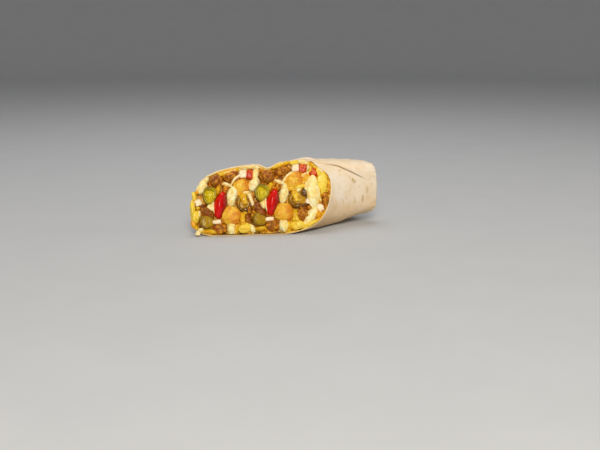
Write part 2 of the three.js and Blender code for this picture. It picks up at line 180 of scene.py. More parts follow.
# Points outside the roll's inner wall are brought in to it: each point's across and up are found from its
# place, and both are made smaller where their powers add up to more than 1.
def keepInside(points, wall=1.9):
    s, y, z = np.moveaxis(points, -1, 0)
    s = np.clip(s, roll["front"], roll["length"] - wall - 1)
    top, under = section("top", s) - wall, section("under", s) + wall
    belt = blend(under, top, section("belt", s))
    lip, sag = roll["lip"], valley(s, y)
    half = section("width", s) / 2 - wall
    aside = np.degrees(np.arctan2(np.maximum(z - belt, 0) / (top - belt), (y - section("side", s)) / half))
    beyond = np.maximum(s - lip["at"], 0)
    rise = lip["rise"] * bell(beyond, lip["reach"]) * bell(aside - lip["angle"], lip["spread"])
    z = z - rise
    height = np.where(z > belt, top - belt + sag, belt - under)
    up = (z - belt) / height
    lean = roll["crestForward"] * np.maximum(up, 0) + 1e-6
    inner = np.maximum(half**2 + 4 * lean * (lean + y - section("side", s)), 0)
    across = (np.sqrt(inner) - half) / (2 * lean)
    square = np.where(across < 0, section("near", s), section("far", s))
    square = np.where(up < 0, section("below", s), square)
    level = np.abs(across) ** square + np.abs(up) ** square
    less = np.where(level > 1, np.maximum(level, 1) ** (-1 / square), 1)
    across, up = across * less, up * less
    lift = np.maximum(up, 0)
    y = section("side", s) + half * across - roll["crestForward"] * lift * (1 - across**2)
    z = np.maximum(belt + up * height + rise, max(wall, 1.3))
    return np.stack([s, y, z], -1)


plan, lean = math.radians(cut["plan"]), math.radians(cut["lean"])
cutAlong = np.array([math.cos(plan), -math.sin(plan), 0])
cutOut = np.array([-math.sin(plan) * math.cos(lean), -math.cos(plan) * math.cos(lean), math.sin(lean)])
cutUp = np.cross(cutOut, cutAlong)
cutFoot = np.array([0, cut["backWall"], 0])


# Points given along the cut, up it and out of it.
def fromCut(u, v, out):
    u, v, out = np.broadcast_arrays(u, v, out)
    return cutFoot + u[..., None] * cutAlong + v[..., None] * cutUp + out[..., None] * cutOut


def toCut(points):
    q = points - cutFoot
    return q @ cutAlong, q @ cutUp, q @ cutOut


# A piece's own points, with Z out of the cut, are swung about its upright, rolled in the cut's plane and set
# at a place on the cut.
def onCut(points, at, out=0, turned=0, swing=0):
    x, y, z = np.moveaxis(points, -1, 0)
    turn = math.radians(swing)
    x, z = x * math.cos(turn) + z * math.sin(turn), z * math.cos(turn) - x * math.sin(turn)
    turn = math.radians(turned)
    x, y = x * math.cos(turn) - y * math.sin(turn), x * math.sin(turn) + y * math.cos(turn)
    return fromCut(x + at[0], y + at[1], z + out)


# The knife leaves the tortilla's rim a little wavy. At the tip the rim is shorter, with nicks torn out of it.
def rimHeight(u, v):
    x, y = u - cut["middle"][0], v - cut["middle"][1]
    height = 0.5 * np.sin(x / 9 + 0.6) * np.cos(y / 13) + 0.3 * np.sin(x / 4)
    height = height - cut["deeper"] * ease(u, 125, 85) - cut["trim"] * ease(u, 22, 11)
    for at, reach, depth in cut["nicks"]:
        height = height - depth * bell(np.hypot(u - at[0], v - at[1]), reach)
    return height


# A closed shell through rings of equally many points, with a fan of triangles onto a point at each end.
def loft(rings, values=None, poles=None):
    rows, columns = rings.shape[:2]
    i = np.arange(rows - 1)[:, None] * columns
    j = np.arange(columns)[None, :]
    k = (j + 1) % columns
    quads = np.stack([i + j, i + k, i + columns + k, i + columns + j], -1).reshape(-1, 4)
    first, last = rows * columns, rows * columns + 1
    foot = (rows - 1) * columns
    fans = np.concatenate([
        np.stack([np.full(columns, first), k[0], j[0]], -1),
        np.stack([np.full(columns, last), foot + j[0], foot + k[0]], -1),
    ])
    ends = poles if poles is not None else (rings[0].mean(0), rings[-1].mean(0))
    points = np.concatenate([rings.reshape(-1, 3), np.array(ends)])
    kept = {}
    for name, value in (values or {}).items():
        value = np.broadcast_to(value, (rows, columns))
        kept[name] = np.concatenate([value.ravel(), [value[0].mean(), value[-1].mean()]])
    return {"points": points, "quads": quads, "fans": fans, "values": kept}


def joinShells(shells):
    starts = np.cumsum([0] + [len(shell["points"]) for shell in shells[:-1]])
    joined = {"points": np.concatenate([shell["points"] for shell in shells])}
    for key in ("quads", "fans"):
        joined[key] = np.concatenate([shell[key] + start for shell, start in zip(shells, starts)])
    names = {name for shell in shells for name in shell["values"]}
    fill = lambda shell, name: shell["values"].get(name, np.zeros(len(shell["points"])))
    joined["values"] = {name: np.concatenate([fill(shell, name) for shell in shells]) for name in names}
    return joined


# Six times the volume within the faces: its sign says which way they point.
def fullness(shell):
    p, q, t = shell["points"] - shell["points"].mean(0), shell["quads"], shell["fans"]
    faces = np.concatenate([q[:, [0, 1, 2]], q[:, [0, 2, 3]], t])
    a, b, c = p[faces[:, 0]], p[faces[:, 1]], p[faces[:, 2]]
    return np.einsum("ij,ij->", a, np.cross(b, c))


def faceOutwards(shell):
    if fullness(shell) < 0:
        shell["quads"] = shell["quads"][:, ::-1]
        shell["fans"] = shell["fans"][:, ::-1]
    return shell


triangleCount = 0


# Puts a shell into the scene as a smooth mesh that stands for the given solids.
def makePiece(name, shell, material, solids):
    global triangleCount
    mesh = bpy.data.meshes.new(name)
    points = (shell["points"] + toRow) / 1000
    mesh.vertices.add(len(points))
    mesh.vertices.foreach_set("co", points.astype(np.float32).ravel())
    corners = np.concatenate([shell["quads"].ravel(), shell["fans"].ravel()]).astype(np.int32)
    fours, threes = len(shell["quads"]), len(shell["fans"])
    starts = np.concatenate([np.arange(fours) * 4, fours * 4 + np.arange(threes) * 3]).astype(np.int32)
    mesh.loops.add(len(corners))
    mesh.loops.foreach_set("vertex_index", corners)
    mesh.polygons.add(len(starts))
    mesh.polygons.foreach_set("loop_start", starts)
    mesh.update(calc_edges=True)
    mesh.polygons.foreach_set("use_smooth", np.ones(len(starts), bool))
    for key, value in shell["values"].items():
        layer = mesh.attributes.new(key, "FLOAT", "POINT")
        layer.data.foreach_set("value", value.astype(np.float32))
    mesh.materials.append(material)
    mesh.validate()
    piece = bpy.data.objects.new(name, mesh)
    bpy.context.scene.collection.objects.link(piece)
    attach(piece, "root")
    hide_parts(*solids)
    triangleCount += 2 * fours + threes


tortilla = {
    "wall": 1.6, "rimWall": 0.75,
    "layer": 1.2,  # step at the wrap's free edge
    "seam": [84, 96, 103, 107, 112, 117.5, 133, 148, 160.5, 166.5, 170],  # its angle from seamFrom to seamTo
    "seamFrom": 96, "seamTo": 176,
    "endRound": 2.2,
    "girth": 225.0, "meanRadius": 34.0,
    # along the roll: where the step at the edge dies away and where its low side gets its full depth, and the
    # same for the shadow that is painted into the seam's groove
    "stepFade": (164, 146), "stepDeepens": (118, 136), "gapFade": (160, 151), "gapDeepens": (124, 138),
    "around": 396, "along": 150, "innerRows": 18, "endRows": 44,
    "flapDepth": 1.9, "tuckDepth": 0.9,
    # how far past the seam, in mm, and how high, as a share of half the step
    "lipProfile": [
        (0.3, 0.96), (0.55, 0.7), (0.7, 0.2), (0.78, -0.9), (0.9, -1.9), (1.25, -2.1), (1.7, -1.5),
    ],
    # toasted spots: along, angle, radius along, radius round, strength
    "spots": [
        (135, 133, 1.9, 1.6, 0.7), (145.7, 157.3, 1.3, 2.4, 0.8), (147.7, 161.2, 1.3, 1.8, 0.75),
        (143, 151.5, 1.3, 1.6, 0.6),
        (160.3, 175.3, 1.2, 2.2, 0.65), (165, 170.2, 1.2, 1.6, 0.5), (155.7, 179.8, 1.4, 1.0, 0.8),
        (147.3, 180.5, 1.1, 1.5, 0.65), (118.3, 161.2, 1.0, 2.4, 0.55), (119, 174.2, 1.2, 1.6, 0.4),
        (118.3, 124, 2.0, 1.2, 0.45), (168, 159.2, 1.2, 2.0, 0.4), (127, 116, 2.6, 0.7, 0.45),
        (134, 181, 0.9, 1.5, 0.5),
        (138, 178, 0.9, 1.3, 0.45), (128, 170, 1.0, 1.3, 0.4), (152, 170, 1.0, 1.1, 0.45),
    ],
    "otherSpots": 70, "endSpots": 16, "toasted": 0.75,
}


def seamAngle(s):
    t = (s - tortilla["seamFrom"]) / (tortilla["seamTo"] - tortilla["seamFrom"])
    return np.radians(through(tortilla["seam"], t))


# How far round the skin a share of its girth reaches from the seam, so that the columns lie evenly: the
# lengths along many short steps round each section are added up and read the other way round.
girthStations = np.linspace(roll["front"], roll["length"], 70)
girthTable = []
for station in girthStations:
    fineTurn = np.linspace(0, 2 * np.pi, 1441)
    girth = skin(station, seamAngle(station) + fineTurn, 0)
    lengths = np.concatenate([[0], np.cumsum(np.linalg.norm(np.diff(girth, axis=0), axis=1))])
    even = np.interp(np.linspace(0, 1, 601), lengths / lengths[-1], fineTurn)
    girthTable.append(even)
girthTable = np.array(girthTable)


def turnAt(s, share):
    s, share = np.broadcast_arrays(s, share)
    whole = np.floor(share + 1e-12)
    step = girthStations[1] - girthStations[0]
    row = np.clip((s - girthStations[0]) / step, 0, len(girthStations) - 1.001)
    column = np.clip((share - whole) * 600, 0, 599.999)
    i, j = row.astype(int), column.astype(int)
    f, g = row - i, column - j
    low = blend(girthTable[i, j], girthTable[i, j + 1], g)
    high = blend(girthTable[i + 1, j], girthTable[i + 1, j + 1], g)
    return blend(low, high, f) + 2 * np.pi * whole


# How far the wrap's outer face stands off the skin. It rises slowly all the way round from half a layer below
# it to half a layer above, dies away at the folded end, and past the free edge follows the edge's profile.
# What lies below the skin is shallower towards the tip.
def layerHeight(s, share, lip):
    turn = turnAt(s, share) / (2 * np.pi)
    step = ease(turn, 0.7, 1) - 1 + ease(turn, 0, 0.25)
    fade = ease(s, *tortilla["stepFade"])
    height = np.where(np.isnan(lip), step, lip)
    height = np.where(height < 0, height * (0.45 + 0.55 * ease(s, *tortilla["stepDeepens"])), height)
    return 0.5 * tortilla["layer"] * fade * height


# Finds for each column the place along the roll where its line crosses the cut, by halving: in front of the
# cut at the first end and behind it at the other.
def meetCut(line, height, columns):
    low, high = np.full(columns, roll["front"]), np.full(columns, 160.0)
    for _ in range(34):
        middle = (low + high) / 2
        u, v, out = toCut(line(middle))
        before = out > height(u, v)
        low, high = np.where(before, middle, low), np.where(before, high, middle)
    return (low + high) / 2


# Distance in from a closed outline, negative outside it: to the nearest of its straight sides, with the sign
# from how many of them a line to one side crosses.
def depthInside(points, outline):
    a, b = outline, np.roll(outline, -1, axis=0)
    way = b - a
    toPoint = points[..., None, :] - a
    share = np.clip((toPoint * way).sum(-1) / ((way**2).sum(-1) + 1e-12), 0, 1)
    distance = np.linalg.norm(toPoint - share[..., None] * way, axis=-1).min(-1)
    y, z = points[..., 0, None], points[..., 1, None]
    spans = (a[:, 1] > z) != (b[:, 1] > z)
    crossing = a[:, 0] + (z - a[:, 1]) * way[:, 0] / np.where(way[:, 1] == 0, 1e-12, way[:, 1])
    inside = (spans & (y < crossing)).sum(-1) % 2 == 1
    return np.where(inside, distance, -distance)


def bezier(a, b, c, d, steps):
    t = np.linspace(0, 1, steps + 1)[1:, None]
    a, b, c, d = (np.array(p, float) for p in (a, b, c, d))
    return (1 - t) ** 3 * a + 3 * (1 - t) ** 2 * t * b + 3 * (1 - t) * t**2 * c + t**3 * d


# Height of the folded end at a place in Y and Z: two tucks from the sides under a tongue from above, each
# with a rounded edge and a narrow groove beside it, which stops where the tongue covers it.
def endFolds(yz):
    side, top, under = roll["side"][-1], roll["top"][-1], roll["under"][-1]
    height = lambda share: blend(under, top, share)
    inset = tortilla["endRound"] + 0.6

    def hem(start, stop, steps):
        angles = np.radians(np.linspace(start, stop, steps + 1))
        return skin(roll["length"], angles, -inset)[:, 1:]

    above = hem(18, 160, 40)
    tip, drop = height(0.2), height(0.5)
    near = bezier(above[-1], (side - 21, drop), (side - 15, tip), (side - 1, tip), 20)
    far = bezier((side - 1, tip), (side + 13, tip), (side + 21, drop), above[0], 20)[:-1]
    tongue = np.concatenate([above, near, far])
    tuckA = np.concatenate([hem(166, 250, 30), [(side - 4, height(0.3))]])
    tuckB = np.concatenate([hem(290, 374, 30), [(side + 3, height(0.3))]])

    def fold(outline, thick):
        depth = depthInside(yz, outline)
        edge = np.clip(depth / thick, 0, 1)
        return thick * np.sqrt(1 - (1 - edge) ** 2), -0.7 * bell(depth + 0.5, 0.8)

    heightA, grooveA = fold(tuckA, tortilla["tuckDepth"])
    heightB, grooveB = fold(tuckB, tortilla["tuckDepth"])
    heightC, grooveC = fold(tongue, tortilla["flapDepth"])
    bare = heightC <= 0
    groove = np.minimum(grooveA, grooveB) * bare
    tucks = np.maximum(heightA, heightB) + groove
    return np.maximum(tucks + grooveC * bare, heightC), -np.minimum(groove, grooveC)


# Blisters, waves and fine creases of a soft tortilla, as a height over its skin.
def tortillaRelief(points, s, angle):
    waves = 0.3 * noise(points, 15, 3) + 0.12 * noise(points, 5, 4)
    blisters = 0.5 * np.maximum(noise(points, 8, 5, 1) - 0.45, 0)
    degrees = np.degrees(np.mod(angle, 2 * np.pi))
    creases = 0
    for start, at, slope, depth in ((134, 104, 0.1, 0.18), (140, 112, 0.14, 0.2), (146, 121, 0.02, 0.18)):
        away = degrees - at - slope * (s - 150) - 1.5 * np.sin(s / 7)
        creases = creases - depth * bell(away, 1.1) * ease(s, start, start + 12)
    pleats = 0.35 * np.sin(angle * 23 + 2 * np.sin(angle * 5)) * ease(s, 158, 172)
    return waves + blisters + creases + pleats


# Toasting from 0 to 1: soft round spots at the places that the photo shows, and many more strewn over the
# sides that it doesn't, all with ragged edges.
def toasting(points, s, angle):
    draw = np.random.default_rng(7)
    ragged = 0.35 * noise(points, 1.6, 9, 2)
    degrees = np.degrees(np.mod(angle, 2 * np.pi))
    toast = np.zeros(s.shape)
    places = list(tortilla["spots"])
    for _ in range(tortilla["otherSpots"]):
        away = draw.uniform(200, 445) % 360
        size = draw.uniform(0.8, 2.4)
        along, wide = draw.uniform(8, 170), size * draw.uniform(0.7, 1.4)
        places.append((along, away, size, wide, draw.uniform(0.2, 0.9)))
    for along, at, reachAlong, reachRound, strength in places:
        strength = tortilla["toasted"] * strength
        aside = np.radians((degrees - at + 180) % 360 - 180) * tortilla["meanRadius"]
        distance = np.hypot((s - along) / reachAlong, aside / reachRound) + ragged
        toast = np.maximum(toast, strength * ease(distance, 1.45, 0.35))
    return toast


# A few soft round spots on the folded end.
def endToasting(points):
    draw = np.random.default_rng(12)
    ragged = 0.35 * noise(points, 1.6, 9, 2)
    toast = np.zeros(len(points))
    for _ in range(tortilla["endSpots"]):
        at = draw.uniform((-35, 10), (12, 54))
        size, strength = draw.uniform(0.8, 1.9), draw.uniform(0.2, 0.6)
        distance = np.hypot(points[:, 1] - at[0], points[:, 2] - at[1]) / size + ragged
        toast = np.maximum(toast, strength * ease(distance, 1.45, 0.35))
    return toast


# The wrap as one closed shell: from the folded end inside along the inner wall to the rim, over it, back
# along the outer face, round the end's edge and in over its folds.
def wrapShell():
    lipShares, lipHeights = np.array(tortilla["lipProfile"]).T
    girth = tortilla["girth"]
    main = np.linspace((lipShares[-1] + 0.6) / girth, 1, tortilla["around"])
    shares = np.concatenate([main, 1 + lipShares / girth])
    lip = np.concatenate([np.full(len(main), np.nan), lipHeights])
    columns = len(shares)
    straight = roll["length"] - tortilla["endRound"]

    def outer(s, relief=True):
        angle = seamAngle(s) + turnAt(s, shares)
        layer = layerHeight(s, shares, lip)
        if relief:
            flat = skin(s, angle, layer)
            calm = (0.35 + 0.65 * ease(s, -20, 30)) * (0.3 + 0.7 * ease(s - outerStart, 0, 12))
            layer = layer + tortillaRelief(flat, s, angle) * calm
        return skin(s, angle, layer), angle, layer

    def inner(s, wall=tortilla["rimWall"]):
        return skin(s, seamAngle(s) + turnAt(s, shares), -wall)

    edge = lambda u, v: rimHeight(u, v) + 0.22 * noise(np.stack([u, v, 0 * u], -1), 3.5, 6)
    outerStart = meetCut(lambda s: outer(s, False)[0], edge, columns)
    innerStart = meetCut(inner, edge, columns)
    rings, notes = [], {"toast": [], "gap": [], "soak": [], "low": []}
    rimAt, rimUp, _ = toCut(outer(outerStart, False)[0])
    golden = np.maximum(ease(rimAt, 42, 14), 0.6 * ease(rimUp, 40, 58) * ease(rimAt, 118, 100))

    def keep(points, toast=0, gap=0, soak=0):
        rings.append(points)
        # browner towards the bottom, partly a toasted underside and partly painted shade
        low = ease(points[:, 2] + 4 * noise(points, 14, 8), 36, 2)
        for name, value in (("toast", toast), ("gap", gap), ("soak", soak), ("low", low)):
            notes[name].append(np.broadcast_to(value, (columns,)))

    for t in np.linspace(1, 0, tortilla["innerRows"]) ** 1.8:
        s = innerStart + (straight - 2 - innerStart) * t
        wall = blend(tortilla["rimWall"], tortilla["wall"], ease(s - innerStart, 0, 9))
        keep(inner(s, wall), soak=golden)
    outerEdge, innerEdge = outer(outerStart)[0], inner(innerStart)
    for share in (0.8, 0.5, 0.2):
        crown = 0.25 * math.sin(math.pi * share)
        keep(blend(outerEdge, innerEdge, share) + crown * cutOut, soak=(0.4 + 0.6 * share) * golden)
    for t in np.linspace(0, 1, tortilla["along"]) ** 1.25:
        s = outerStart + (straight - outerStart) * t
        points, angle, layer = outer(s)
        # painted shadow in the groove past the free edge, weaker towards the cut and gone at the folded end
        gap = np.where(np.isnan(lip), 0, ease(-np.nan_to_num(lip), 0.3, 1.7))
        gap = gap * (0.25 + 0.75 * ease(s, *tortilla["gapDeepens"])) * ease(s, *tortilla["gapFade"])
        soak = 0.85 * golden * ease(s - outerStart + 1.4 * noise(points, 6, 12), 4.0, 0.4)
        keep(points, toast=toasting(points, s, angle), gap=gap, soak=soak)
    last = outer(np.full(columns, straight))
    for turn in np.radians([25, 50, 72, 90]):
        s = np.full(columns, straight + tortilla["endRound"] * math.sin(turn))
        tuckedIn = last[2] - tortilla["endRound"] * (1 - math.cos(turn))
        keep(skin(s, last[1], tuckedIn), toast=toasting(skin(s, last[1], tuckedIn), s, last[1]))
    hem = rings[-1]
    centre = hem.mean(0)
    reach = np.linalg.norm(hem[:, 1:] - centre[1:], axis=1)
    for share in np.linspace(1, 0, tortilla["endRows"] + 1)[1:-1]:
        points = centre + share * (hem - centre)
        height, groove = endFolds(points[:, 1:])
        fromHem = reach * (1 - share)
        wrinkle = 0.3 * np.sin(last[1] * 23 + 2 * np.sin(last[1] * 5)) * bell(fromHem, 6)
        bulge = 0.9 * noise(points, 11, 14) + 0.25 * noise(points, 4, 16) + wrinkle
        points[:, 0] = roll["length"] + (height + bulge) * ease(fromHem, 0, 3.5)
        # painted shade in the grooves beside the end's folds
        keep(points, toast=endToasting(points), gap=0.3 * groove * ease(fromHem, 2, 5))
    poles = (rings[0].mean(0), rings[-1].mean(0))
    notes = {name: np.array(rows) for name, rows in notes.items()}
    return loft(np.array(rings), notes, poles)


# What shows on each half of the cut. The halves look much alike, so one list serves both, moved by the
# second's place, and "b" adds to it there. A piece has a place along and up the cut, a size along, up and
# into it, and its middle may stand out of the cut.
halves = [("a", (0, 0), 1), ("b", (46.6, 1.8), 2)]
halfPieces = [
    {"kind": "tomato_wedge", "at": (37.1, 28.4), "size": (11.2, 25, 12), "turned": -13, "out": -0.6},
    {"kind": "tot", "name": "low", "at": (46.4, 18.4), "size": (17.7, 17, 25), "out": -8,
     "b": {"at": (0, 0.6)}},
    {"kind": "jalapeno", "name": "high", "at": (27.8, 37), "size": (13.5, 16, 6), "swing": -14, "out": -1},
    {"kind": "jalapeno", "name": "mid", "at": (57.8, 29.8), "size": (13, 17, 6), "swing": 10, "out": -2.2,
     "b": {"at": (3.2, 1), "size": (7, 0, 0)}},
    {"kind": "tot", "name": "high", "at": (56, 45), "size": (14.5, 14.5, 22), "turned": 30, "out": -8,
     "b": {"at": (0.8, 2.6), "size": (3.5, 0, 0)}},
    {"kind": "egg", "name": "herb", "at": (47.4, 35.6), "size": (8.6, 19, 9), "turned": -10, "out": -1.4},
    {"kind": "jalapeno", "name": "low", "at": (25, 12.8), "size": (13.5, 12.5, 6), "swing": 20,
     "out": -1.6},
    {"kind": "sausage", "name": "top", "at": (33, 50.6), "size": (13, 12, 11), "out": -2.4,
     "b": {"at": (0, 1)}, "roast": 0.35},
    {"kind": "sausage", "name": "crest", "at": (46.8, 54.6), "size": (16, 9, 10), "turned": 14, "out": -3,
     "b": {"at": (0, 2.2)}, "roast": 0.1},
    {"kind": "sausage", "name": "mid", "at": (42.4, 42.2), "size": (7.5, 8, 9), "out": -3.4, "roast": 0},
    {"kind": "sausage", "name": "side", "at": (24.8, 22), "size": (9.5, 16, 10), "turned": 38,
     "out": -2.6, "roast": 0.9},
    {"kind": "sausage", "name": "low", "at": (36.4, 7), "size": (13, 9.5, 10), "out": -2.4, "roast": 0},
    {"kind": "egg", "name": "edge", "at": (20.8, 44.8), "size": (9.5, 13.5, 9), "turned": -35, "out": -2.2},
    {"kind": "egg", "name": "low", "at": (46.4, 7.2), "size": (8.6, 12.5, 9), "out": -2},
    {"kind": "egg", "name": "foot", "at": (58.6, 6.6), "size": (13, 9.5, 9), "out": -2.2},
    {"kind": "onion", "name": "high", "at": (57.8, 56.2), "size": (7, 8, 6.5), "out": -2.4,
     "b": {"at": (0.8, 3)}},
    {"kind": "tomato", "name": "high", "at": (64.4, 55.8), "size": (7.4, 9, 6.5), "turned": -14,
     "out": -2.4,
     "b": {"at": (0.8, 2.8)}},
    {"kind": "onion", "name": "low", "at": (33.8, 12.9), "size": (8, 4, 6), "turned": 4, "out": -1.6},
]
lonePieces = [
    {"kind": "onion", "name": "pepper", "at": (116.4, 29.9), "size": (6.8, 5, 5), "turned": -14,
     "out": -0.4, "seed": 13},
    {"kind": "egg", "name": "large", "at": (119.9, 39.4), "size": (13.6, 29, 12), "turned": 6,
     "out": -1.8, "seed": 5},
    {"kind": "egg", "name": "curl", "at": (117.6, 17.4), "size": (8.5, 20, 9), "turned": -38,
     "out": -2.8, "seed": 6},
    {"kind": "egg", "name": "crown", "at": (114.6, 66.6), "size": (12.5, 7, 9), "out": -2.2, "seed": 12},
    {"kind": "sausage", "name": "near", "at": (110.6, 19), "size": (12, 14, 10), "turned": -20, "out": -3.4,
     "seed": 7, "roast": 0.15},
    {"kind": "sausage", "name": "rim", "at": (131, 32), "size": (7, 15, 9), "turned": 6, "out": -3,
     "seed": 8,
     "roast": 0},
    {"kind": "sausage", "name": "nook", "at": (61.6, 14.4), "size": (6.5, 10, 8), "out": -3, "seed": 14,
     "roast": 0.8},
    {"kind": "tomato", "name": "near", "at": (121.8, 56.4), "size": (8, 8, 7), "turned": -30,
     "out": -2.6, "seed": 9},
    {"kind": "onion", "name": "rim", "at": (126.8, 24.2), "size": (6.6, 7.6, 5.5), "turned": 30,
     "out": -3, "seed": 10},
    {"kind": "onion", "name": "tip", "at": (17.4, 31), "size": (6.6, 6.8, 5.5), "turned": 20,
     "out": -2.6, "seed": 11},
]
# Softer bits with no edge of their own, which lie on the filling: place, size along and up, turn, and how far
# the middle stands out of the cut.
softBits = {
    "cream": {
        "half": [
            ((28.6, 26.4), (7.4, 9.5), -25, -2.2), ((43.2, 46.4), (9.5, 4), -12, -2.6),
            ((60.4, 38.8), (6.4, 4.6), 15, -2.4),
        ],
        "lone": [
            ((68.9, 55.6), (5.8, 14.5), -14, -2.6), ((19.4, 6), (5, 4.6), 0, -2.2),
            ((64.8, 7), (5, 8), 25, -2.6),
            ((24.2, 50.4), (5, 8.5), -38, -2.6), ((126.4, 60.6), (4.4, 9), 30, -2.2),
            ((63, 62), (16, 3.6), 2, -1.4),
            ((18.4, 20.6), (3.4, 6), 0, -2.6),
        ],
    },
    "gold": {
        "half": [
            ((50.8, 6.4), (4.6, 10), 0, -2.8), ((35, 42.2), (4.6, 10), -20, -2.4),
            ((25.6, 4.4), (12, 4.6), 0, -2.4),
        ],
        "lone": [
            ((17.4, 25.2), (4, 3.4), 0, -1.6),
        ],
    },
    "butter": {
        "half": [],
        "lone": [
            ((12.4, 26), (4.8, 16), 0, -1.4), ((14.8, 17.8), (7.2, 12), 0, -1.7),
            ((128.8, 46.5), (10, 22), -8, -2.4),
            ((126, 56.6), (5, 9.5), 26, -2.2), ((122.4, 65.2), (7, 5), 40, -2),
            ((14, 36.2), (5, 8.5), 10, -1.9),
            ((119, 9.6), (16, 5.4), 22, -1.8), ((108.4, 43.8), (9.5, 5.4), 18, -2.2),
            ((104.2, 65.8), (10, 4.6), 8, -1.8),
        ],
    },
    "amber": {
        "half": [((25, 4.4), (9, 3.6), 0, -1.8)],
        "lone": [
            ((13.2, 11.6), (5.4, 9), 0, -1.8), ((124, 17.4), (5.2, 7), 30, -2.2),
            ((16.4, 39.6), (4, 3.6), 0, -1.4),
        ],
    },
    "olive": {"half": [], "lone": [((113, 37.6), (11, 7.2), -22, -2.2)]},
    "tan": {
        "half": [((53.2, 51.4), (8, 4.4), 35, -3.2), ((62.8, 23.6), (4, 9), 0, -3)],
        "lone": [((75.2, 55.6), (6, 10), 0, -2.8), ((116, 24.4), (4.6, 4.4), 0, -2.2)],
    },
    "orange": {
        "half": [],
        "lone": [
            ((114.8, 51.4), (6.8, 9.5), -20, -2.6), ((101, 42.2), (7, 5.4), 10, -2.6),
            ((53.4, 37.2), (5.4, 3.8), 10, -2.4),
            ((123.4, 61.4), (5.6, 5), 0, -2.4),
        ],
    },
}


def listPieces():
    listed = []
    for i, piece in enumerate(halfPieces):
        for mark, move, seed in halves:
            extra = piece.get("b", {}) if mark == "b" else {}
            add = lambda key, base: tuple(np.array(base) + np.array(extra.get(key, (0,) * len(base))))
            copy = {**piece, "size": add("size", piece["size"])}
            copy["at"] = add("at", np.array(piece["at"]) + move)
            copy["seed"] = seed + 2 * i
            copy["node"] = "_".join(filter(None, [piece["kind"], piece.get("name"), mark]))
            listed.append(copy)
    for piece in lonePieces:
        listed.append({**piece, "node": piece["kind"] + "_" + piece["name"]})
    return listed


allPieces = listPieces()


# How far a place on the cut is from a piece's middle, 1 at its own outline.
def awayFrom(u, v, at, size, turned=0, grow=0.0):
    turn = math.radians(turned)
    x, y = u - at[0], v - at[1]
    a, b = x * math.cos(turn) + y * math.sin(turn), y * math.cos(turn) - x * math.sin(turn)
    return np.hypot(a / (size[0] / 2 + grow), b / (size[1] / 2 + grow))


filling = {
    "back": 2.4,  # its own face lies this far behind the rim
    "curd": 5.2, "rise": 1.9, "curdSeed": 1.3,
    "pit": -7.5,  # depth of the pits that the larger pieces lie in
    "behind": -10.0,  # how far behind the cut the face's shell closes
    "clear": 0.3,  # room between the bulk and the wrap
    "columns": 380, "rows": 190,
    # soft patches that colour the bed: what it is there, place, size and turn; on both halves
    "halfPatches": [
        ("brown", (33, 50), (20, 13), 10), ("brown", (47, 53), (18, 9), 14), ("brown", (43, 43), (9, 9), 0),
        ("brown", (24, 22), (12, 15), 30), ("brown", (36, 8), (14, 9), 0), ("brown", (62, 15), (8, 13), 0),
        ("brown", (53, 37.5), (6, 4), 10), ("pale", (67, 51), (7, 19), -16),
        ("pale", (29, 27), (6, 9), -20),
        ("pale", (47, 35), (8, 17), -10), ("pale", (59, 39), (7, 5), 20), ("pale", (65, 33), (4, 13), 12),
        ("pale", (46, 7), (8, 12), 0), ("gold", (27, 4), (16, 4), 0), ("gold", (51.5, 6), (4, 9), 0),
        ("pale", (59, 6), (11, 6), 0), ("gold", (56, 14), (5, 12), 0), ("gold", (44, 58), (20, 5), 14),
        ("pale", (65.5, 5.5), (5, 8), 20), ("gold", (25, 17), (11, 4), 0), ("pale", (57, 60), (12, 3), 4),
    ],
    "lonePatches": [
        ("pale", (14, 21), (8, 14), 0), ("gold", (13.5, 30), (5, 18), 0), ("gold", (15, 39), (6, 6), 0),
        ("gold", (17, 25), (6, 4), 0), ("gold", (14, 11), (6, 9), 0), ("brown", (18, 9), (4, 5), 0),
        ("gold", (130.5, 47), (11, 26), -10), ("gold", (126, 20), (7, 8), 0),
        ("gold", (119, 9), (18, 6), 18),
        ("gold", (118.6, 61), (4, 13), 0), ("pale", (112, 66), (14, 5), 0), ("gold", (104, 66), (10, 3), 6),
        ("brown", (115, 50.5), (5, 7), -20), ("pale", (108, 43.5), (8, 5), 20),
        ("gold", (124, 57), (6, 6), 0),
        ("pale", (126.5, 34), (4, 12), 0), ("brown", (131, 31), (6, 14), 0),
        ("gold", (124, 63), (10, 8), -30),
    ],
}


# Outline of the room inside the wrap where the cut crosses it: the lowest and highest place for each place
# along the cut.
def roomOutline():
    angles = wholeTurn(1440)
    line = lambda s: skin(s, angles, -0.55)
    s = meetCut(line, lambda u, v: rimHeight(u, v) - 0.6, len(angles))
    u, v, _ = toCut(line(s))
    turn = np.argmin(u)
    u, v = np.roll(u, -turn), np.roll(v, -turn)
    far = np.argmax(u)
    chains = [(u[: far + 1], v[: far + 1]), (u[far:][::-1], v[far:][::-1])]
    chains.sort(key=lambda chain: chain[1].mean())
    outline = np.stack([u, v], -1)
    return [(np.maximum.accumulate(a), b) for a, b in chains], outline


(lowChain, highChain), faceOutline = roomOutline()


# How strongly the bed is of one kind at a place: the most of its patches, with ragged edges.
def patchWeight(kind, u, v):
    flat = np.stack([u, v, 0 * u], -1)
    ragged = 0.28 * noise(flat, 3.2, 21) + 0.12 * noise(flat, 1.2, 22, 1)
    weight = np.zeros(u.shape)
    for what, at, size, turned in filling["lonePatches"]:
        if what == kind:
            weight = np.maximum(weight, ease(awayFrom(u, v, at, size, turned) + ragged, 1.25, 0.7))
    for what, at, size, turned in filling["halfPatches"]:
        if what == kind:
            for _, move, _ in halves:
                place = (at[0] + move[0], at[1] + move[1])
                weight = np.maximum(weight, ease(awayFrom(u, v, place, size, turned) + ragged, 1.25, 0.7))
    return weight


# A place on the cut as a point in its plane, and the height there of the coarse waves of curd alone.
def curdWaves(u, v):
    flat = np.stack([u - cut["middle"][0], v - cut["middle"][1], 0 * u], -1)
    return flat, filling["rise"] * lumps(flat, filling["curd"], filling["curdSeed"]) - filling["back"]


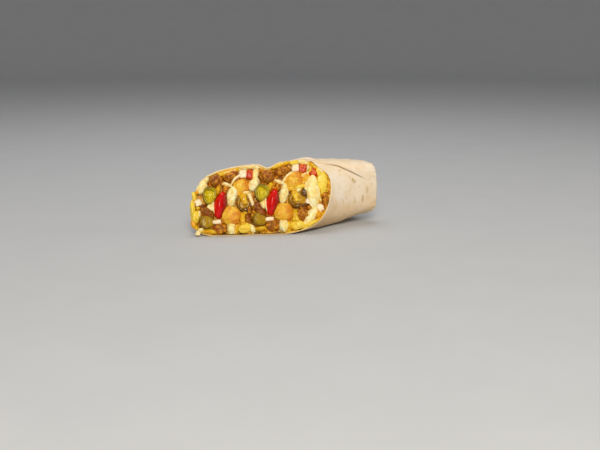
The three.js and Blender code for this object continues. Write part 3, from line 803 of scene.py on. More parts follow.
# The bed's own height: coarse waves of curd, small rounded crumbs and grain. It climbs where it meets the
# wall, and is sunk under each piece so that it closes round its edge.
def bedHeight(u, v, edge, sink=True):
    flat, height = curdWaves(u, v)
    height = height + 1.1 * (0.5 - np.minimum(pebbles(flat, 3.0, 2), 1)) + 0.3 * noise(flat, 1.3, 31)
    height = height + np.minimum(rimHeight(u, v), 0)
    climb = rimHeight(u, v) - 0.3 + 0.45 * noise(flat, 2.4, 33)
    height = blend(height, climb, ease(edge, 2.6, 0.2))
    if sink:
        for piece in allPieces:
            away = awayFrom(u, v, piece["at"], piece["size"], piece.get("turned", 0))
            height = blend(height, np.minimum(height, filling["pit"]), ease(away, 0.96, 0.76))
    return height


# The filling: across the cut go rings that each run up the open face and back behind it, and its bulk lies
# behind in the wrap's inner shape.
def fillingShells():
    columns, rows = filling["columns"], filling["rows"]
    t = np.linspace(0, 1, columns)
    t = blend(t, 0.5 - 0.5 * np.cos(np.pi * t), 0.5)
    first, last = lowChain[0].min() + 0.06, lowChain[0].max() - 0.06
    u = blend(first, last, t)
    low, high = np.interp(u, *lowChain), np.interp(u, *highChain)
    share = np.linspace(0, 1, rows)
    share = blend(share, 0.5 - 0.5 * np.cos(np.pi * share), 0.3)
    v = blend(low[:, None], high[:, None], share[None, :])
    u = np.broadcast_to(u[:, None], v.shape)
    spots = np.stack([u, v], -1)
    edge = np.concatenate([depthInside(strip, faceOutline[::4]) for strip in np.array_split(spots, 19)])
    edge = np.maximum(edge, 0)
    height = bedHeight(u, v, edge)
    _, waves = curdWaves(u, v)
    # painted shade: where the bed lies below its curd waves, in the pits under the pieces and between crumbs,
    # less so at the wall
    deep = ease(waves - height, 0.4, 3) * ease(edge, 0.4, 3)
    face = fromCut(u, v, height)
    behind = [fromCut(u[:, k], v[:, k], np.full(columns, filling["behind"])) for k in (-1, 0)]
    behind.insert(1, fromCut(u[:, 0], blend(low, high, 0.5), np.full(columns, filling["behind"])))
    rings = keepInside(np.concatenate([face, np.stack(behind, 1)], 1), tortilla["rimWall"])
    pad = lambda value: np.pad(value, ((0, 0), (0, 3)))
    values = {"gold": pad(patchWeight("gold", u, v)), "pale": pad(patchWeight("pale", u, v))}
    values |= {"brown": pad(patchWeight("brown", u, v)), "deep": pad(deep), "wall": pad(ease(edge, 3, 0.3))}
    angles = wholeTurn(72)
    inset = tortilla["wall"] + filling["clear"]
    line = lambda s: skin(s, angles, -inset)
    start = meetCut(line, lambda u, v: -9.0 + 0 * u, len(angles))
    stop = roll["length"] - 2 * inset - 2
    bulk = np.array([line(start + (stop - start) * t) for t in np.linspace(0, 1, 24)])
    return joinShells([faceOutwards(loft(rings, values)), faceOutwards(loft(bulk))])


# Directions on a ball as rings from its foot to its crown, with X, Y and Z each from -1 to 1 and Y up.
def ballRings(around, down):
    turn = wholeTurn(around)
    tilt = np.linspace(0, np.pi, down + 2)[1:-1]
    x = np.sin(tilt)[:, None] * np.cos(turn)[None, :]
    z = np.sin(tilt)[:, None] * np.sin(turn)[None, :]
    y = np.broadcast_to(-np.cos(tilt)[:, None], x.shape)
    return np.stack([x, y, z], -1)


def fineness(size, step=0.42):
    girth = math.pi * (size[0] + size[1]) / 2
    around = int(np.clip(girth / step, 36, 110))
    return around, int(around * 0.62)


# Moves each point straight out from the middle by an amount in millimetres.
def swell(points, amount):
    length = np.linalg.norm(points, axis=-1, keepdims=True)
    return points * (1 + np.asarray(amount)[..., None] / np.maximum(length, 1e-6))


egg = {"lumps": 0.14, "folds": 0.7, "pits": 0.13}


# A curd of scrambled egg: a lumpy ball with soft folds, and small pits where steam came out.
def eggForm(size, seed, step=0.42):
    around, down = fineness(size, step)
    ball = ballRings(around, down)
    points = ball * (1 + egg["lumps"] * lumps(ball, 0.55, seed))[..., None] * np.array(size) / 2
    folds = egg["folds"] * (np.abs(noise(points, 5.5, seed, 2)) - 0.3)
    pits = -egg["pits"] * ease(noise(points, 1.1, seed + 3, 1), 0.45, 0.8)
    # the folds' hollows, which the finish darkens to gold as painted shade
    deep = ease(folds, 0.15, -0.25)
    return loft(swell(points, folds + pits + 0.1 * noise(points, 1.8, seed + 5)), {"deep": deep})


sausage = {"lumps": 0.14, "crumb": 3.0, "crumbRise": 1.15, "grain": 0.26}


# A crumble of fried sausage: a lumpy ball of many grains pressed together, rounded between their creases.
def sausageForm(size, seed, roast=0.2, step=0.36):
    around, down = fineness(size, step)
    ball = ballRings(around, down)
    points = ball * (1 + sausage["lumps"] * lumps(ball, 0.55, seed))[..., None] * np.array(size) / 2
    near = pebbles(points, sausage["crumb"], seed)
    rise = sausage["crumbRise"] * (0.42 - np.minimum(near, 0.95) ** 1.5)
    rough = sausage["grain"] * noise(points, 0.9, seed + 2)
    # deep: the creases between grains, which the finish darkens as painted shade
    return loft(swell(points, rise + rough), {"deep": ease(near, 0.45, 0.85), "roast": roast})


tot = {"radius": 0.62, "straight": 0.76, "square": 2.6, "shred": 1.9, "rise": 0.75}


# A potato tot: a barrel whose ends are rounded off by a power, squarer than a ball, under a crust of short
# shreds of potato that lie round it.
def totForm(size, seed, step=0.36):
    around, down = fineness(size, step)
    radius, half = tot["radius"], tot["straight"] / 2
    path = np.linspace(-1, 1, int(down * 1.5) + 2)[1:-1]
    path = np.sin(path * np.pi / 2) * 0.6 + path * 0.4
    beyond = np.clip((np.abs(path) - half) / radius, 0, 0.999)
    reach = (1 - beyond ** tot["square"]) ** (1 / tot["square"])
    turn = wholeTurn(around)
    c, n = np.cos(turn), np.sin(turn)
    blunt = (np.abs(c) ** 2.5 + np.abs(n) ** 2.5) ** (-1 / 2.5)
    x = reach[:, None] * (c * blunt)[None, :] * size[0] / 2
    y = reach[:, None] * (n * blunt)[None, :] * size[1] / 2
    z = np.broadcast_to(path[:, None] * size[2] / 2, x.shape)
    points = np.stack([x, y, z], -1)
    stretched = points / np.array([1.5, 0.8, 1.0])
    shreds = pebbles(stretched + 0.5 * noise(points, 3, seed)[..., None], tot["shred"], seed)
    rise = tot["rise"] * (0.4 - np.minimum(shreds, 0.9)) + 0.45 * noise(points, 4.2, seed + 1)
    rise = rise + 0.16 * noise(points, 0.8, seed + 4)
    # how far towards the right and lower side, for a darker orange-brown tone there
    right = 2 * x / size[0] - 0.6 * y / size[1] + 0.35 * noise(points, 4, seed + 6)
    # deep: the creases between shreds, which the finish darkens as painted shade
    return loft(swell(points, rise), {"deep": ease(shreds, 0.42, 0.8), "browned": ease(right, 0.0, 0.65)})


jalapeno = {
    "seeds": 6, "seedSize": (1.6, 1.2, 0.7),
    # where the dark rind starts and is full, as shares of the radius, the side it is widest on, in degrees,
    # and how much of it is left on the other side
    "high": {"band": (0.5, 0.98), "towards": 160, "least": 0.3},
    "mid": {"band": (0.42, 0.8), "towards": -60, "least": 0.05},
    "low": {"band": (0.55, 1.0), "towards": -60, "least": 0.5},
}


# A slice of pickled pepper: a ring turned from an outline that runs from the middle of its back, over its
# skin and the flesh round its seeds, to the middle of its front, a little three-sided.
def pepperForm(size, seed, cutAs, step=0.4):
    around, _ = fineness(size, step)
    shut = cutAs == "low"
    half = size[2] / 2
    outline = np.array([
        (0.3, -0.85), (0.62, -0.95), (0.84, -1), (0.95, -0.75), (1, -0.35), (1.01, 0), (1, 0.4),
        (0.95, 0.8),
        (0.88, 1), (0.79, 1.02), (0.72, 0.9), (0.66, 0.45), (0.58, 0.22), (0.46, 0.3), (0.36, 0.55),
        (0.22, 0.72),
        (0.1, 0.77),
    ])
    if cutAs == "low":
        outline[9:, 1] = [1.03, 1.06, 1.08, 1.1, 1.12, 1.13, 1.14, 1.14]
    if cutAs == "mid":
        outline[10:, 1] = [0.95, 0.8, 0.66, 0.66, 0.72, 0.78, 0.8]
    t = np.linspace(0, 1, 46)
    reach, height = through(outline[:, 0], t), through(outline[:, 1], t)
    turn = wholeTurn(around)
    sides = 1 + 0.05 * np.cos(3 * turn + seed) + 0.03 * np.cos(2 * turn + 2 * seed)
    inner = 1 + 0.16 * np.cos(3 * turn + seed)
    wide = reach[:, None] * blend(inner, sides, ease(reach, 0.5, 0.95)[:, None])
    x, y = wide * np.cos(turn) * size[0] / 2, wide * np.sin(turn) * size[1] / 2
    z = np.broadcast_to(height[:, None] * half, x.shape)
    points = np.stack([x, y, z], -1)
    points[..., 2] += 0.18 * noise(points, 2.6, seed) * ease(height, -0.6, 0.6)[:, None]
    points = swell(points, 0.08 * noise(points, 1.4, seed + 3))
    own = jalapeno[cutAs]
    side = np.cos(turn - math.radians(own["towards"])) + 0.3 * np.sin(2 * turn + seed)
    share = own["least"] + (1 - own["least"]) * ease(side, -0.5, 0.7)
    rind = ease(reach, *own["band"])[:, None] * share[None, :]
    rind = np.maximum(rind, (ease(height, 0.7, 0.1) * (t < 0.6))[:, None] * (0.4 + 0.6 * share))
    heart = ease(reach, 0.64, 0.5) * ease(t, 0.5, 0.55) * (not shut)
    shells = [faceOutwards(loft(points, {"rind": rind, "heart": heart[:, None]}))]
    draw = np.random.default_rng(100 + seed)
    for _ in range(0 if shut else jalapeno["seeds"]):
        angle, far = draw.uniform(0, 2 * np.pi), draw.uniform(0.2, 0.62)
        seedBall = ballRings(12, 8) * np.array(jalapeno["seedSize"]) / 2
        spin = draw.uniform(0, np.pi)
        a, b = seedBall[..., 0], seedBall[..., 1]
        ax, by = a * math.cos(spin) - b * math.sin(spin), a * math.sin(spin) + b * math.cos(spin)
        place = (far * math.cos(angle) * size[0] / 2, far * math.sin(angle) * size[1] / 2)
        lift = half * np.interp(far, [0.1, 0.36, 0.58, 0.66], [0.77, 0.55, 0.22, 0.45]) + 0.25
        seedBall = np.stack([ax + place[0], by + place[1], seedBall[..., 2] + lift], -1)
        shells.append(faceOutwards(loft(seedBall, {"heart": 2.0})))
    return joinShells(shells)


# A wedge of tomato: a ball made narrower in front and bent back at both ends, with a soft keel down it.
def wedgeForm(size, seed, step=0.34):
    around, down = fineness(size, step)
    ball = ballRings(around, down)
    x, y, z = np.moveaxis(ball, -1, 0)
    keel = 0.1 * bell(x + 0.25, 0.35) * np.maximum(z, 0)
    bent = [x * (1 - 0.12 * z) * (1 - 0.1 * y), y, z - 0.14 * y**2 + keel]
    points = np.stack(bent, -1) * np.array(size) / 2
    points = swell(points, 0.22 * noise(points, 5, seed, 1) + 0.05 * noise(points, 1.6, seed + 2))
    flesh = ease(x + 0.45 * y + 0.1 * noise(points, 3, seed), -0.35, -0.95) * ease(z, -0.2, 0.3)
    # dusk: towards the right side, which the finish darkens as painted shade
    return loft(points, {"flesh": flesh, "dusk": ease(x + 0.12 * noise(points, 3, seed + 1), 0.1, 0.6)})


# A diced bit: a ball pressed towards a cube by powers, its faces a little sunk or swollen.
def diceForm(size, seed, step=0.34):
    around, down = fineness(size, step)
    ball = ballRings(around, down)
    press = (np.abs(ball) ** 4.2).sum(-1) ** (-1 / 4.2)
    points = ball * press[..., None] * (1 + 0.05 * lumps(ball, 0.5, seed))[..., None] * np.array(size) / 2
    points = swell(points, 0.32 * noise(points, 3.2, seed, 2) - 0.15)
    flesh = ease(noise(points, 4.5, seed + 8, 1), 0.1, 0.5)
    return loft(points, {"flesh": flesh})


# A strip along a path: an oval section, thinner towards both ends, is carried along a smooth line through the
# given places on the cut, with its surface a little uneven.
def stripForm(places, wide, deep, seed, steps=44, around=16):
    places = np.array(places, float)
    t = np.linspace(0, 1, steps)
    line = np.stack([through(places[:, k], t) for k in range(3)], -1)
    line = fromCut(line[:, 0], line[:, 1], line[:, 2])
    way = np.gradient(line, axis=0)
    way /= np.linalg.norm(way, axis=1, keepdims=True)
    side = np.cross(cutOut, way)
    side /= np.linalg.norm(side, axis=1, keepdims=True)
    over = np.cross(way, side)
    taper = np.clip(1 - np.abs(2 * t - 1) ** 5, 0.02, 1) ** 0.5 * (1 + 0.14 * noise(line, 4, seed))
    turn = wholeTurn(around)
    c, n = np.cos(turn), np.sin(turn)
    c, n = np.sign(c) * np.abs(c) ** 0.8, np.sign(n) * np.abs(n) ** 0.8
    ring = side[:, None] * (c * wide / 2)[None, :, None] + over[:, None] * (n * deep / 2)[None, :, None]
    points = line[:, None] + ring * taper[:, None, None]
    grain = 0.12 * noise(points, 1.5, seed + 1)
    outwards = ring / np.linalg.norm(ring, axis=-1, keepdims=True)
    points = points + outwards * grain[..., None] * taper[:, None, None]
    return faceOutwards(loft(points))


# Strips of cheese and sauce, on both halves or single: places (along, up, out), with a width and a depth.
goldStrips = {
    "half": [
        ([(32.6, 34.6, -1.2), (33.2, 40, -0.8), (36.6, 46.2, -1.6)], 2.8, 2.8),
        ([(56.8, 38.4, -0.6), (57.6, 33.4, 2.2), (59.2, 27.8, 1.8)], 5.2, 2.8),
        ([(57.2, 21.2, -2.0), (56.4, 14.8, -0.2), (57.4, 8.8, -0.8)], 4.6, 3.4),
        ([(20.5, 4.4, -2.2), (27, 4.9, -1.2), (34, 4.0, -2.2)], 3.6, 2.8),
        ([(20.4, 17.6, -1.6), (24.6, 18.8, -0.6), (29.6, 17.0, -1.6)], 2.2, 2.0),
    ],
    "lone": [
        ([(35, 55.4, -1.4), (41, 57.2, -0.7), (47, 58.8, -0.6), (54, 60.4, -1.2)], 4.2, 3.0),
        ([(82, 61.2, -1.4), (88, 63.2, -0.7), (94, 65.0, -0.6), (101, 66.6, -1.2)], 4.4, 3.2),
        ([(13.2, 13.6, -2.0), (14.0, 9.6, -1.0), (17.0, 7.2, -2.2)], 3.4, 2.8),
        ([(125.6, 52.0, -1.8), (126.4, 42, -0.2), (124.6, 29, -1.2)], 3.2, 3.0),
        ([(118.2, 67.8, -1.8), (118.8, 61.6, -0.4), (118.2, 54.8, -1.4)], 3.0, 2.6),
        ([(112.4, 7.2, -2.0), (119, 9.4, -1.0), (126.2, 15.0, -1.6)], 3.2, 3.0),
        ([(102.6, 22.4, -1.6), (104.4, 14.6, 0.4), (107.2, 10.4, 0.2), (111.6, 8.6, -1.2)], 4.0, 3.4),
    ],
}
paleStrips = {
    "half": [
        ([(46.8, 46.0, -1.8), (50.0, 51.2, 0.0), (56.0, 55.6, -0.4)], 2.2, 2.0),
        ([(39.0, 47.4, -1.8), (43.0, 47.4, -0.2), (48.0, 44.2, -0.8)], 2.2, 2.0),
        ([(33.4, 38.4, -0.4), (30.9, 31.0, 0.4), (31.0, 24.0, 0.2), (33.4, 17.4, -0.8)], 1.7, 2.6),
    ],
    "lone": [
        ([(62.4, 38.6, -1.6), (64.2, 33.0, -0.1), (66.8, 26.6, -1.2)], 3.4, 2.6),
        ([(56.0, 61.8, -0.8), (64, 62.9, -0.2), (73.4, 61.6, -0.7)], 2.6, 2.2),
        ([(62.4, 11.0, -1.4), (64.2, 6.8, -0.6), (67.2, 3.2, -1.4)], 2.6, 2.2),
        ([(107.4, 67.2, -1.0), (114.0, 68.4, -0.1), (121.0, 69.2, -0.4)], 3.8, 2.6),
        ([(121.6, 68.4, -1.0), (126.2, 63.0, -0.6), (129.8, 56.0, -1.0)], 2.6, 2.2),
    ],
}
hangingDrip = ([(17.9, 5.2, -1.2), (17.2, 3.6, -0.2), (16.7, 2.2, 0.3), (16.5, 1.1, 0.3)], 4.8, 3.4)


def stripShells(strips, seed):
    shells = []
    for i, (places, wide, deep) in enumerate(strips["half"]):
        for _, move, extra in halves:
            moved = [(a + move[0], b + move[1], c) for a, b, c in places]
            shells.append(stripForm(moved, wide, deep, seed + 2 * i + extra))
    for i, (places, wide, deep) in enumerate(strips["lone"]):
        shells.append(stripForm(places, wide, deep, seed + 50 + i))
    for shell in shells:
        shell["points"] = keepInside(shell["points"], 0.9)
    return joinShells(shells)


# The soft bits of one kind on both halves, each a lump of the given form.
def softShells(kind, form, seed):
    shells = []
    places = [(bit, move, extra) for bit in softBits[kind]["half"] for _, move, extra in halves]
    places += [(bit, (0, 0), 0) for bit in softBits[kind]["lone"]]
    for i, ((at, size, turned, out), move, extra) in enumerate(places):
        shell = form((*size, 7.5), seed + i + extra)
        for name, own in (("butter", "butter"), ("amber", "amber"), ("rind", "olive")):
            shell["values"][name] = np.full(len(shell["points"]), float(kind == own))
        place = (at[0] + move[0], at[1] + move[1])
        shell["points"] = keepInside(onCut(shell["points"], place, out, turned), 1.0)
        shells.append(faceOutwards(shell))
    return joinShells(shells)


# Small loose bits strewn over the bed by a seeded draw: each is a ball of few faces, stretched, turned and
# made uneven on its own. A bit is kept where its kind belongs and no larger piece lies.
strewn = {
    "sausage": {
        "tries": 2600, "size": (1.3, 4.2), "wants": "brown", "spare": 0.2, "uneven": 0.34, "seed": 41,
    },
    "egg": {"tries": 2000, "size": (1.5, 4.2), "wants": "pale", "spare": 0.0, "uneven": 0.26, "seed": 42},
    "gold": {"tries": 1800, "size": (1.2, 3.4), "wants": "gold", "spare": 0.14, "uneven": 0.26, "seed": 43},
}


def strewnBits(kind):
    made = strewn[kind]
    draw = np.random.default_rng(made["seed"])
    count = made["tries"]
    u, v = draw.uniform(9, 135, count), draw.uniform(1, 70, count)
    size = draw.uniform(0, 1, count) ** 1.6 * (made["size"][1] - made["size"][0]) + made["size"][0]
    edge = depthInside(np.stack([u, v], -1), faceOutline)
    fits = edge > 0.5 + 0.35 * size
    for piece in allPieces:
        fits &= awayFrom(u, v, piece["at"], piece["size"], piece.get("turned", 0)) > 0.93
    fits &= patchWeight(made["wants"], u, v) + made["spare"] > draw.uniform(0, 1, count)
    u, v, size, edge = u[fits], v[fits], size[fits], edge[fits]
    count = len(u)
    ball = ballRings(10, 6)
    points = np.broadcast_to(ball, (count,) + ball.shape)
    own = draw.uniform(0, 400, (count, 1, 1, 3))
    points = points * (1 + made["uneven"] * noise(points * 1.1 + own, 1, 51, 2))[..., None]
    stretch = draw.uniform(0.6, 1.15, (count, 1, 1, 3))
    points = points * stretch * size[:, None, None, None] / 2
    spin = draw.uniform(0, np.pi, count)[:, None, None]
    x, y, z = np.moveaxis(points, -1, 0)
    x, y = x * np.cos(spin) - y * np.sin(spin), x * np.sin(spin) + y * np.cos(spin)
    lift = bedHeight(u, v, edge, sink=False) + 0.18 * size
    rings = fromCut(x + u[:, None, None], y + v[:, None, None], z + lift[:, None, None])
    rings = keepInside(rings, 1.9)
    print(f"  {count} loose bits of {kind}")
    return joinShells([faceOutwards(loft(one)) for one in rings])


def colour(red, green, blue):
    # a colour as seen on screen, from 0 to 255, made linear for the shader
    linear = [c / 255 / 12.92 if c <= 10 else ((c / 255 + 0.055) / 1.055) ** 2.4 for c in (red, green, blue)]
    return (*linear, 1.0)


def newGroup(name, inputs, outputs):
    group = bpy.data.node_groups.new(name, "ShaderNodeTree")
    for label, kind, value in inputs:
        socket = group.interface.new_socket(label, in_out="INPUT", socket_type=kind)
        if value is not None:
            socket.default_value = value
    for label, kind in outputs:
        group.interface.new_socket(label, in_out="OUTPUT", socket_type=kind)
    start, end = group.nodes.new("NodeGroupInput"), group.nodes.new("NodeGroupOutput")
    start.location, end.location = (-900, 0), (700, 0)
    return group, start, end


# Adds a node, sets its named properties, and fills its inputs: a socket is linked and a value is set.
def addNode(tree, kind, inputs=None, **settings):
    node = tree.nodes.new(kind)
    for name, value in settings.items():
        setattr(node, name, value)
    for key, value in (inputs or {}).items():
        if isinstance(value, bpy.types.NodeSocket):
            tree.links.new(value, node.inputs[key])
        else:
            node.inputs[key].default_value = value
    return node


def mathNode(tree, operation, a, b=0.0):
    return addNode(tree, "ShaderNodeMath", {0: a, 1: b}, operation=operation).outputs[0]


def mixColours(tree, share, a, b, way="MIX"):
    node = addNode(tree, "ShaderNodeMix", {0: share, 6: a, 7: b}, data_type="RGBA", blend_type=way)
    return node.outputs[2]


def remap(tree, value, low, high, toLow=0.0, toHigh=1.0):
    inputs = {"Value": value, "From Min": low, "From Max": high, "To Min": toLow, "To Max": toHigh}
    return addNode(tree, "ShaderNodeMapRange", inputs, interpolation_type="SMOOTHSTEP").outputs[0]


# Uneven cooking: a soft cloudy mask at a size in millimetres.
def makeMottling():
    inputs = [("Place", "NodeSocketVector", None), ("Size", "NodeSocketFloat", 5.0),
              ("Low", "NodeSocketFloat", 0.35), ("High", "NodeSocketFloat", 0.65),
              ("Detail", "NodeSocketFloat", 3.0)]
    group, start, end = newGroup("mottling", inputs, [("Mask", "NodeSocketFloat")])
    scale = mathNode(group, "DIVIDE", 1000.0, start.outputs["Size"])
    cloud = addNode(group, "ShaderNodeTexNoise", {"Vector": start.outputs["Place"], "Scale": scale,
                    "Detail": start.outputs["Detail"], "Roughness": 0.6})
    mask = remap(group, cloud.outputs["Fac"], start.outputs["Low"], start.outputs["High"])
    group.links.new(mask, end.inputs["Mask"])
    return group


# Specks: round spots strewn one in some of the cells of a size in millimetres.
def makeSpecks():
    inputs = [("Place", "NodeSocketVector", None), ("Cell", "NodeSocketFloat", 2.0),
              ("Reach", "NodeSocketFloat", 0.3), ("Share", "NodeSocketFloat", 0.4)]
    group, start, end = newGroup("specks", inputs, [("Mask", "NodeSocketFloat")])
    scale = mathNode(group, "DIVIDE", 1000.0, start.outputs["Cell"])
    place = start.outputs["Place"]
    wander = addNode(group, "ShaderNodeTexNoise", {"Vector": place, "Scale": scale, "Detail": 2.0})
    inputs = {0: wander.outputs["Color"], "Scale": 0.0007}
    off = addNode(group, "ShaderNodeVectorMath", inputs, operation="SCALE")
    place = addNode(group, "ShaderNodeVectorMath", {0: place, 1: off.outputs[0]}, operation="ADD")
    cells = addNode(group, "ShaderNodeTexVoronoi", {"Vector": place.outputs[0], "Scale": scale})
    near = remap(group, cells.outputs["Distance"], start.outputs["Reach"], 0.0)
    split = addNode(group, "ShaderNodeSeparateColor", {"Color": cells.outputs["Color"]})
    some = mathNode(group, "LESS_THAN", split.outputs[0], start.outputs["Share"])
    group.links.new(mathNode(group, "MULTIPLY", near, some), end.inputs["Mask"])
    return group


# Grain: fine unevenness as a height, with a coarse and a fine size in millimetres.
def makeGrain():
    inputs = [("Place", "NodeSocketVector", None), ("Coarse", "NodeSocketFloat", 2.0),
              ("Fine", "NodeSocketFloat", 0.5), ("Balance", "NodeSocketFloat", 0.5)]
    group, start, end = newGroup("grain", inputs, [("Height", "NodeSocketFloat")])
    place = start.outputs["Place"]
    big = addNode(group, "ShaderNodeTexNoise", {"Vector": place, "Detail": 3.0,
                  "Scale": mathNode(group, "DIVIDE", 1000.0, start.outputs["Coarse"])})
    small = addNode(group, "ShaderNodeTexNoise", {"Vector": place, "Detail": 3.0,
                    "Scale": mathNode(group, "DIVIDE", 1000.0, start.outputs["Fine"])})
    inputs = {0: start.outputs["Balance"], 2: big.outputs["Fac"], 3: small.outputs["Fac"]}
    both = addNode(group, "ShaderNodeMix", inputs)
    group.links.new(both.outputs[0], end.inputs["Height"])
    return group


mottlingGroup, specksGroup, grainGroup = makeMottling(), makeSpecks(), makeGrain()

tints = {
    "tortillaDough": (0.97, 1.01, 1.05),
    "cheesyBed": (1.0, 0.99, 0.54),
    "scrambledEgg": (1.05, 1.07, 1.08),
    "herbEgg": (0.97, 1.01, 0.98),
    "friedSausage": (1.11, 1.02, 0.11),
    "potatoCrust": (0.94, 0.95, 0.31),
    "pepperBright": (0.88, 0.8, 0.06),
    "pepperPale": (0.74, 0.47, 0.04),
    "pepperOlive": (0.78, 0.64, 0.08),
    "tomatoWedge": (1.0, 0.08, 0.01),
    "tomatoDice": (0.81, 0.44, 0.02),
    "onionDice": (1.02, 0.94, 0.82),
    "yellowCheese": (0.97, 0.97, 0.1),
    "paleCheese": (1.0, 1.0, 0.9),
}


socketNames = {
    "subsurface": "Subsurface Weight", "scatter": "Subsurface Scale", "radius": "Subsurface Radius",
    "coat": "Coat Weight", "coatRough": "Coat Roughness", "specular": "Specular IOR Level",
}


# A material under way: its tree, its place vector and its Principled shader. A tint evens its colours out
# against the warm light.
class Finish:
    def __init__(self, name, tint=(1, 1, 1)):
        self.tint = tint
        self.material = bpy.data.materials.new(name)
        self.material.use_nodes = True
        self.tree = self.material.node_tree
        self.tree.nodes.clear()
        self.shader = self.tree.nodes.new("ShaderNodeBsdfPrincipled")
        output = self.tree.nodes.new("ShaderNodeOutputMaterial")
        self.tree.links.new(self.shader.outputs[0], output.inputs[0])
        self.place = self.tree.nodes.new("ShaderNodeTexCoord").outputs["Object"]

    def effect(self, group, **values):
        node = self.tree.nodes.new("ShaderNodeGroup")
        node.node_tree = group
        self.tree.links.new(self.place, node.inputs["Place"])
        for name, value in values.items():
            node.inputs[name].default_value = value
        return node.outputs[0]

    def mottling(self, size, low=0.35, high=0.65, detail=3.0):
        return self.effect(mottlingGroup, Size=size, Low=low, High=high, Detail=detail)

    def specks(self, cell, reach=0.3, share=0.4):
        return self.effect(specksGroup, Cell=cell, Reach=reach, Share=share)

    def value(self, name):
        return addNode(self.tree, "ShaderNodeAttribute", attribute_name=name).outputs["Fac"]

    def mix(self, share, a, b, way="MIX"):
        return mixColours(self.tree, share, a, b, way)

    def times(self, a, b):
        return mathNode(self.tree, "MULTIPLY", a, b)

    # one colour over the base where a mask is, at a share of its strength
    def lay(self, base, mask, share, *rgb):
        return self.mix(self.times(mask, share), base, colour(*rgb))

    def remap(self, *values):
        return remap(self.tree, *values)

    def finish(self, base, rough, bump=0.3, coarse=2.0, fine=0.5, balance=0.5, distance=0.4, **constants):
        base = self.mix(1.0, base, (*self.tint, 1), "MULTIPLY")
        self.tree.links.new(base, self.shader.inputs["Base Color"])
        if isinstance(rough, bpy.types.NodeSocket):
            self.tree.links.new(rough, self.shader.inputs["Roughness"])
        else:
            film = self.effect(grainGroup, Coarse=4.0, Fine=1.2, Balance=0.4)
            wet = self.remap(film, 0.35, 0.65, rough[0], rough[1])
            self.tree.links.new(wet, self.shader.inputs["Roughness"])
        height = self.effect(grainGroup, Coarse=coarse, Fine=fine, Balance=balance)
        inputs = {"Strength": bump, "Distance": distance / 1000, "Height": height}
        bumps = addNode(self.tree, "ShaderNodeBump", inputs)
        self.tree.links.new(bumps.outputs[0], self.shader.inputs["Normal"])
        for name, value in constants.items():
            self.shader.inputs[socketNames[name]].default_value = value
        return self.material


# Soft wheat dough, floury and pale, with toasted spots, a golden soaked rim, and shadow painted olive-brown
# into the groove at its seam and beside the folds of its end. It is browner low down, partly from a toasted
# underside and partly as painted shade.
def tortillaFinish():
    f = Finish("tortillaDough", tints["tortillaDough"])
    base = f.mix(f.mottling(22, 0.38, 0.62), colour(247, 221, 188), colour(252, 233, 210))
    base = f.lay(base, f.mottling(5, 0.5, 0.75), 0.5, 236, 206, 166)
    base = f.lay(base, f.specks(1.6, 0.34, 0.3), 0.4, 255, 244, 228)
    # tan low down: partly a toasted underside, partly painted shade
    base = f.lay(base, f.value("low"), 0.75, 212, 168, 102)
    toast = f.value("toast")
    base = f.mix(f.remap(toast, 0.05, 0.6, 0.0, 0.75), base, colour(208, 174, 116))
    base = f.mix(f.remap(toast, 0.45, 1.0, 0.0, 0.85), base, colour(150, 110, 58))
    # painted shadow, olive-brown, in the seam's groove and beside the end's folds
    base = f.lay(base, f.value("gap"), 0.8, 138, 106, 48)
    base = f.lay(base, f.value("soak"), 0.9, 248, 208, 104)
    return f.finish(base, (0.6, 0.8), bump=0.25, coarse=3.0, fine=0.7, distance=0.5, subsurface=0.12,
                    scatter=0.003, radius=(1.0, 0.7, 0.4), specular=0.3)


# The bed of the filling: melted cheese and egg over crumbled sausage, coloured by what lies there, with shade
# painted brown into its hollows.
def bedFinish():
    f = Finish("cheesyBed", tints["cheesyBed"])
    base = f.mix(f.mottling(4.0), colour(214, 142, 46), colour(244, 194, 92))
    brown = f.mix(f.mottling(1.8), colour(128, 70, 26), colour(206, 142, 76))
    gold = f.mix(f.mottling(3.0), colour(236, 170, 34), colour(254, 214, 92))
    pale = f.mix(f.mottling(3.4), colour(252, 226, 140), colour(255, 242, 194))
    base = f.mix(f.value("brown"), base, brown)
    base = f.mix(f.value("gold"), base, gold)
    base = f.mix(f.value("pale"), base, pale)
    base = f.lay(base, f.value("wall"), 0.7, 255, 226, 134)
    base = f.lay(base, f.specks(2.2, 0.3, 0.2), 0.6, 136, 124, 46)
    # painted shade in the bed's hollows and pits
    base = f.lay(base, f.value("deep"), 0.65, 140, 78, 24)
    return f.finish(base, (0.22, 0.45), bump=0.45, coarse=1.6, fine=0.5, subsurface=0.1, scatter=0.002,
                    radius=(1.0, 0.6, 0.2), specular=0.5)


# Scrambled egg: pale yellow, whiter in places, moist, with shade painted darker gold into its folds; one kind
# has flecks of green herb.
def eggFinish(name, herbs):
    f = Finish(name, tints[name])
    base = f.mix(f.mottling(5.0, 0.4, 0.6), colour(252, 229, 140), colour(255, 243, 188))
    base = f.lay(base, f.mottling(9.0, 0.55, 0.7), 0.6, 255, 248, 222)
    # painted shade in the folds' hollows
    base = f.lay(base, f.value("deep"), 0.6, 240, 192, 84)
    if herbs:
        base = f.lay(base, f.mottling(3.0, 0.5, 0.7), 0.5, 255, 238, 214)
        base = f.lay(base, f.specks(2.3, 0.36, 0.5), 0.6, 176, 182, 96)
        base = f.lay(base, f.specks(1.5, 0.26, 0.22), 0.7, 140, 142, 62)
    return f.finish(base, (0.25, 0.5), bump=0.3, coarse=1.8, fine=0.5, subsurface=0.2, scatter=0.003,
                    radius=(1.0, 0.8, 0.4), specular=0.5)


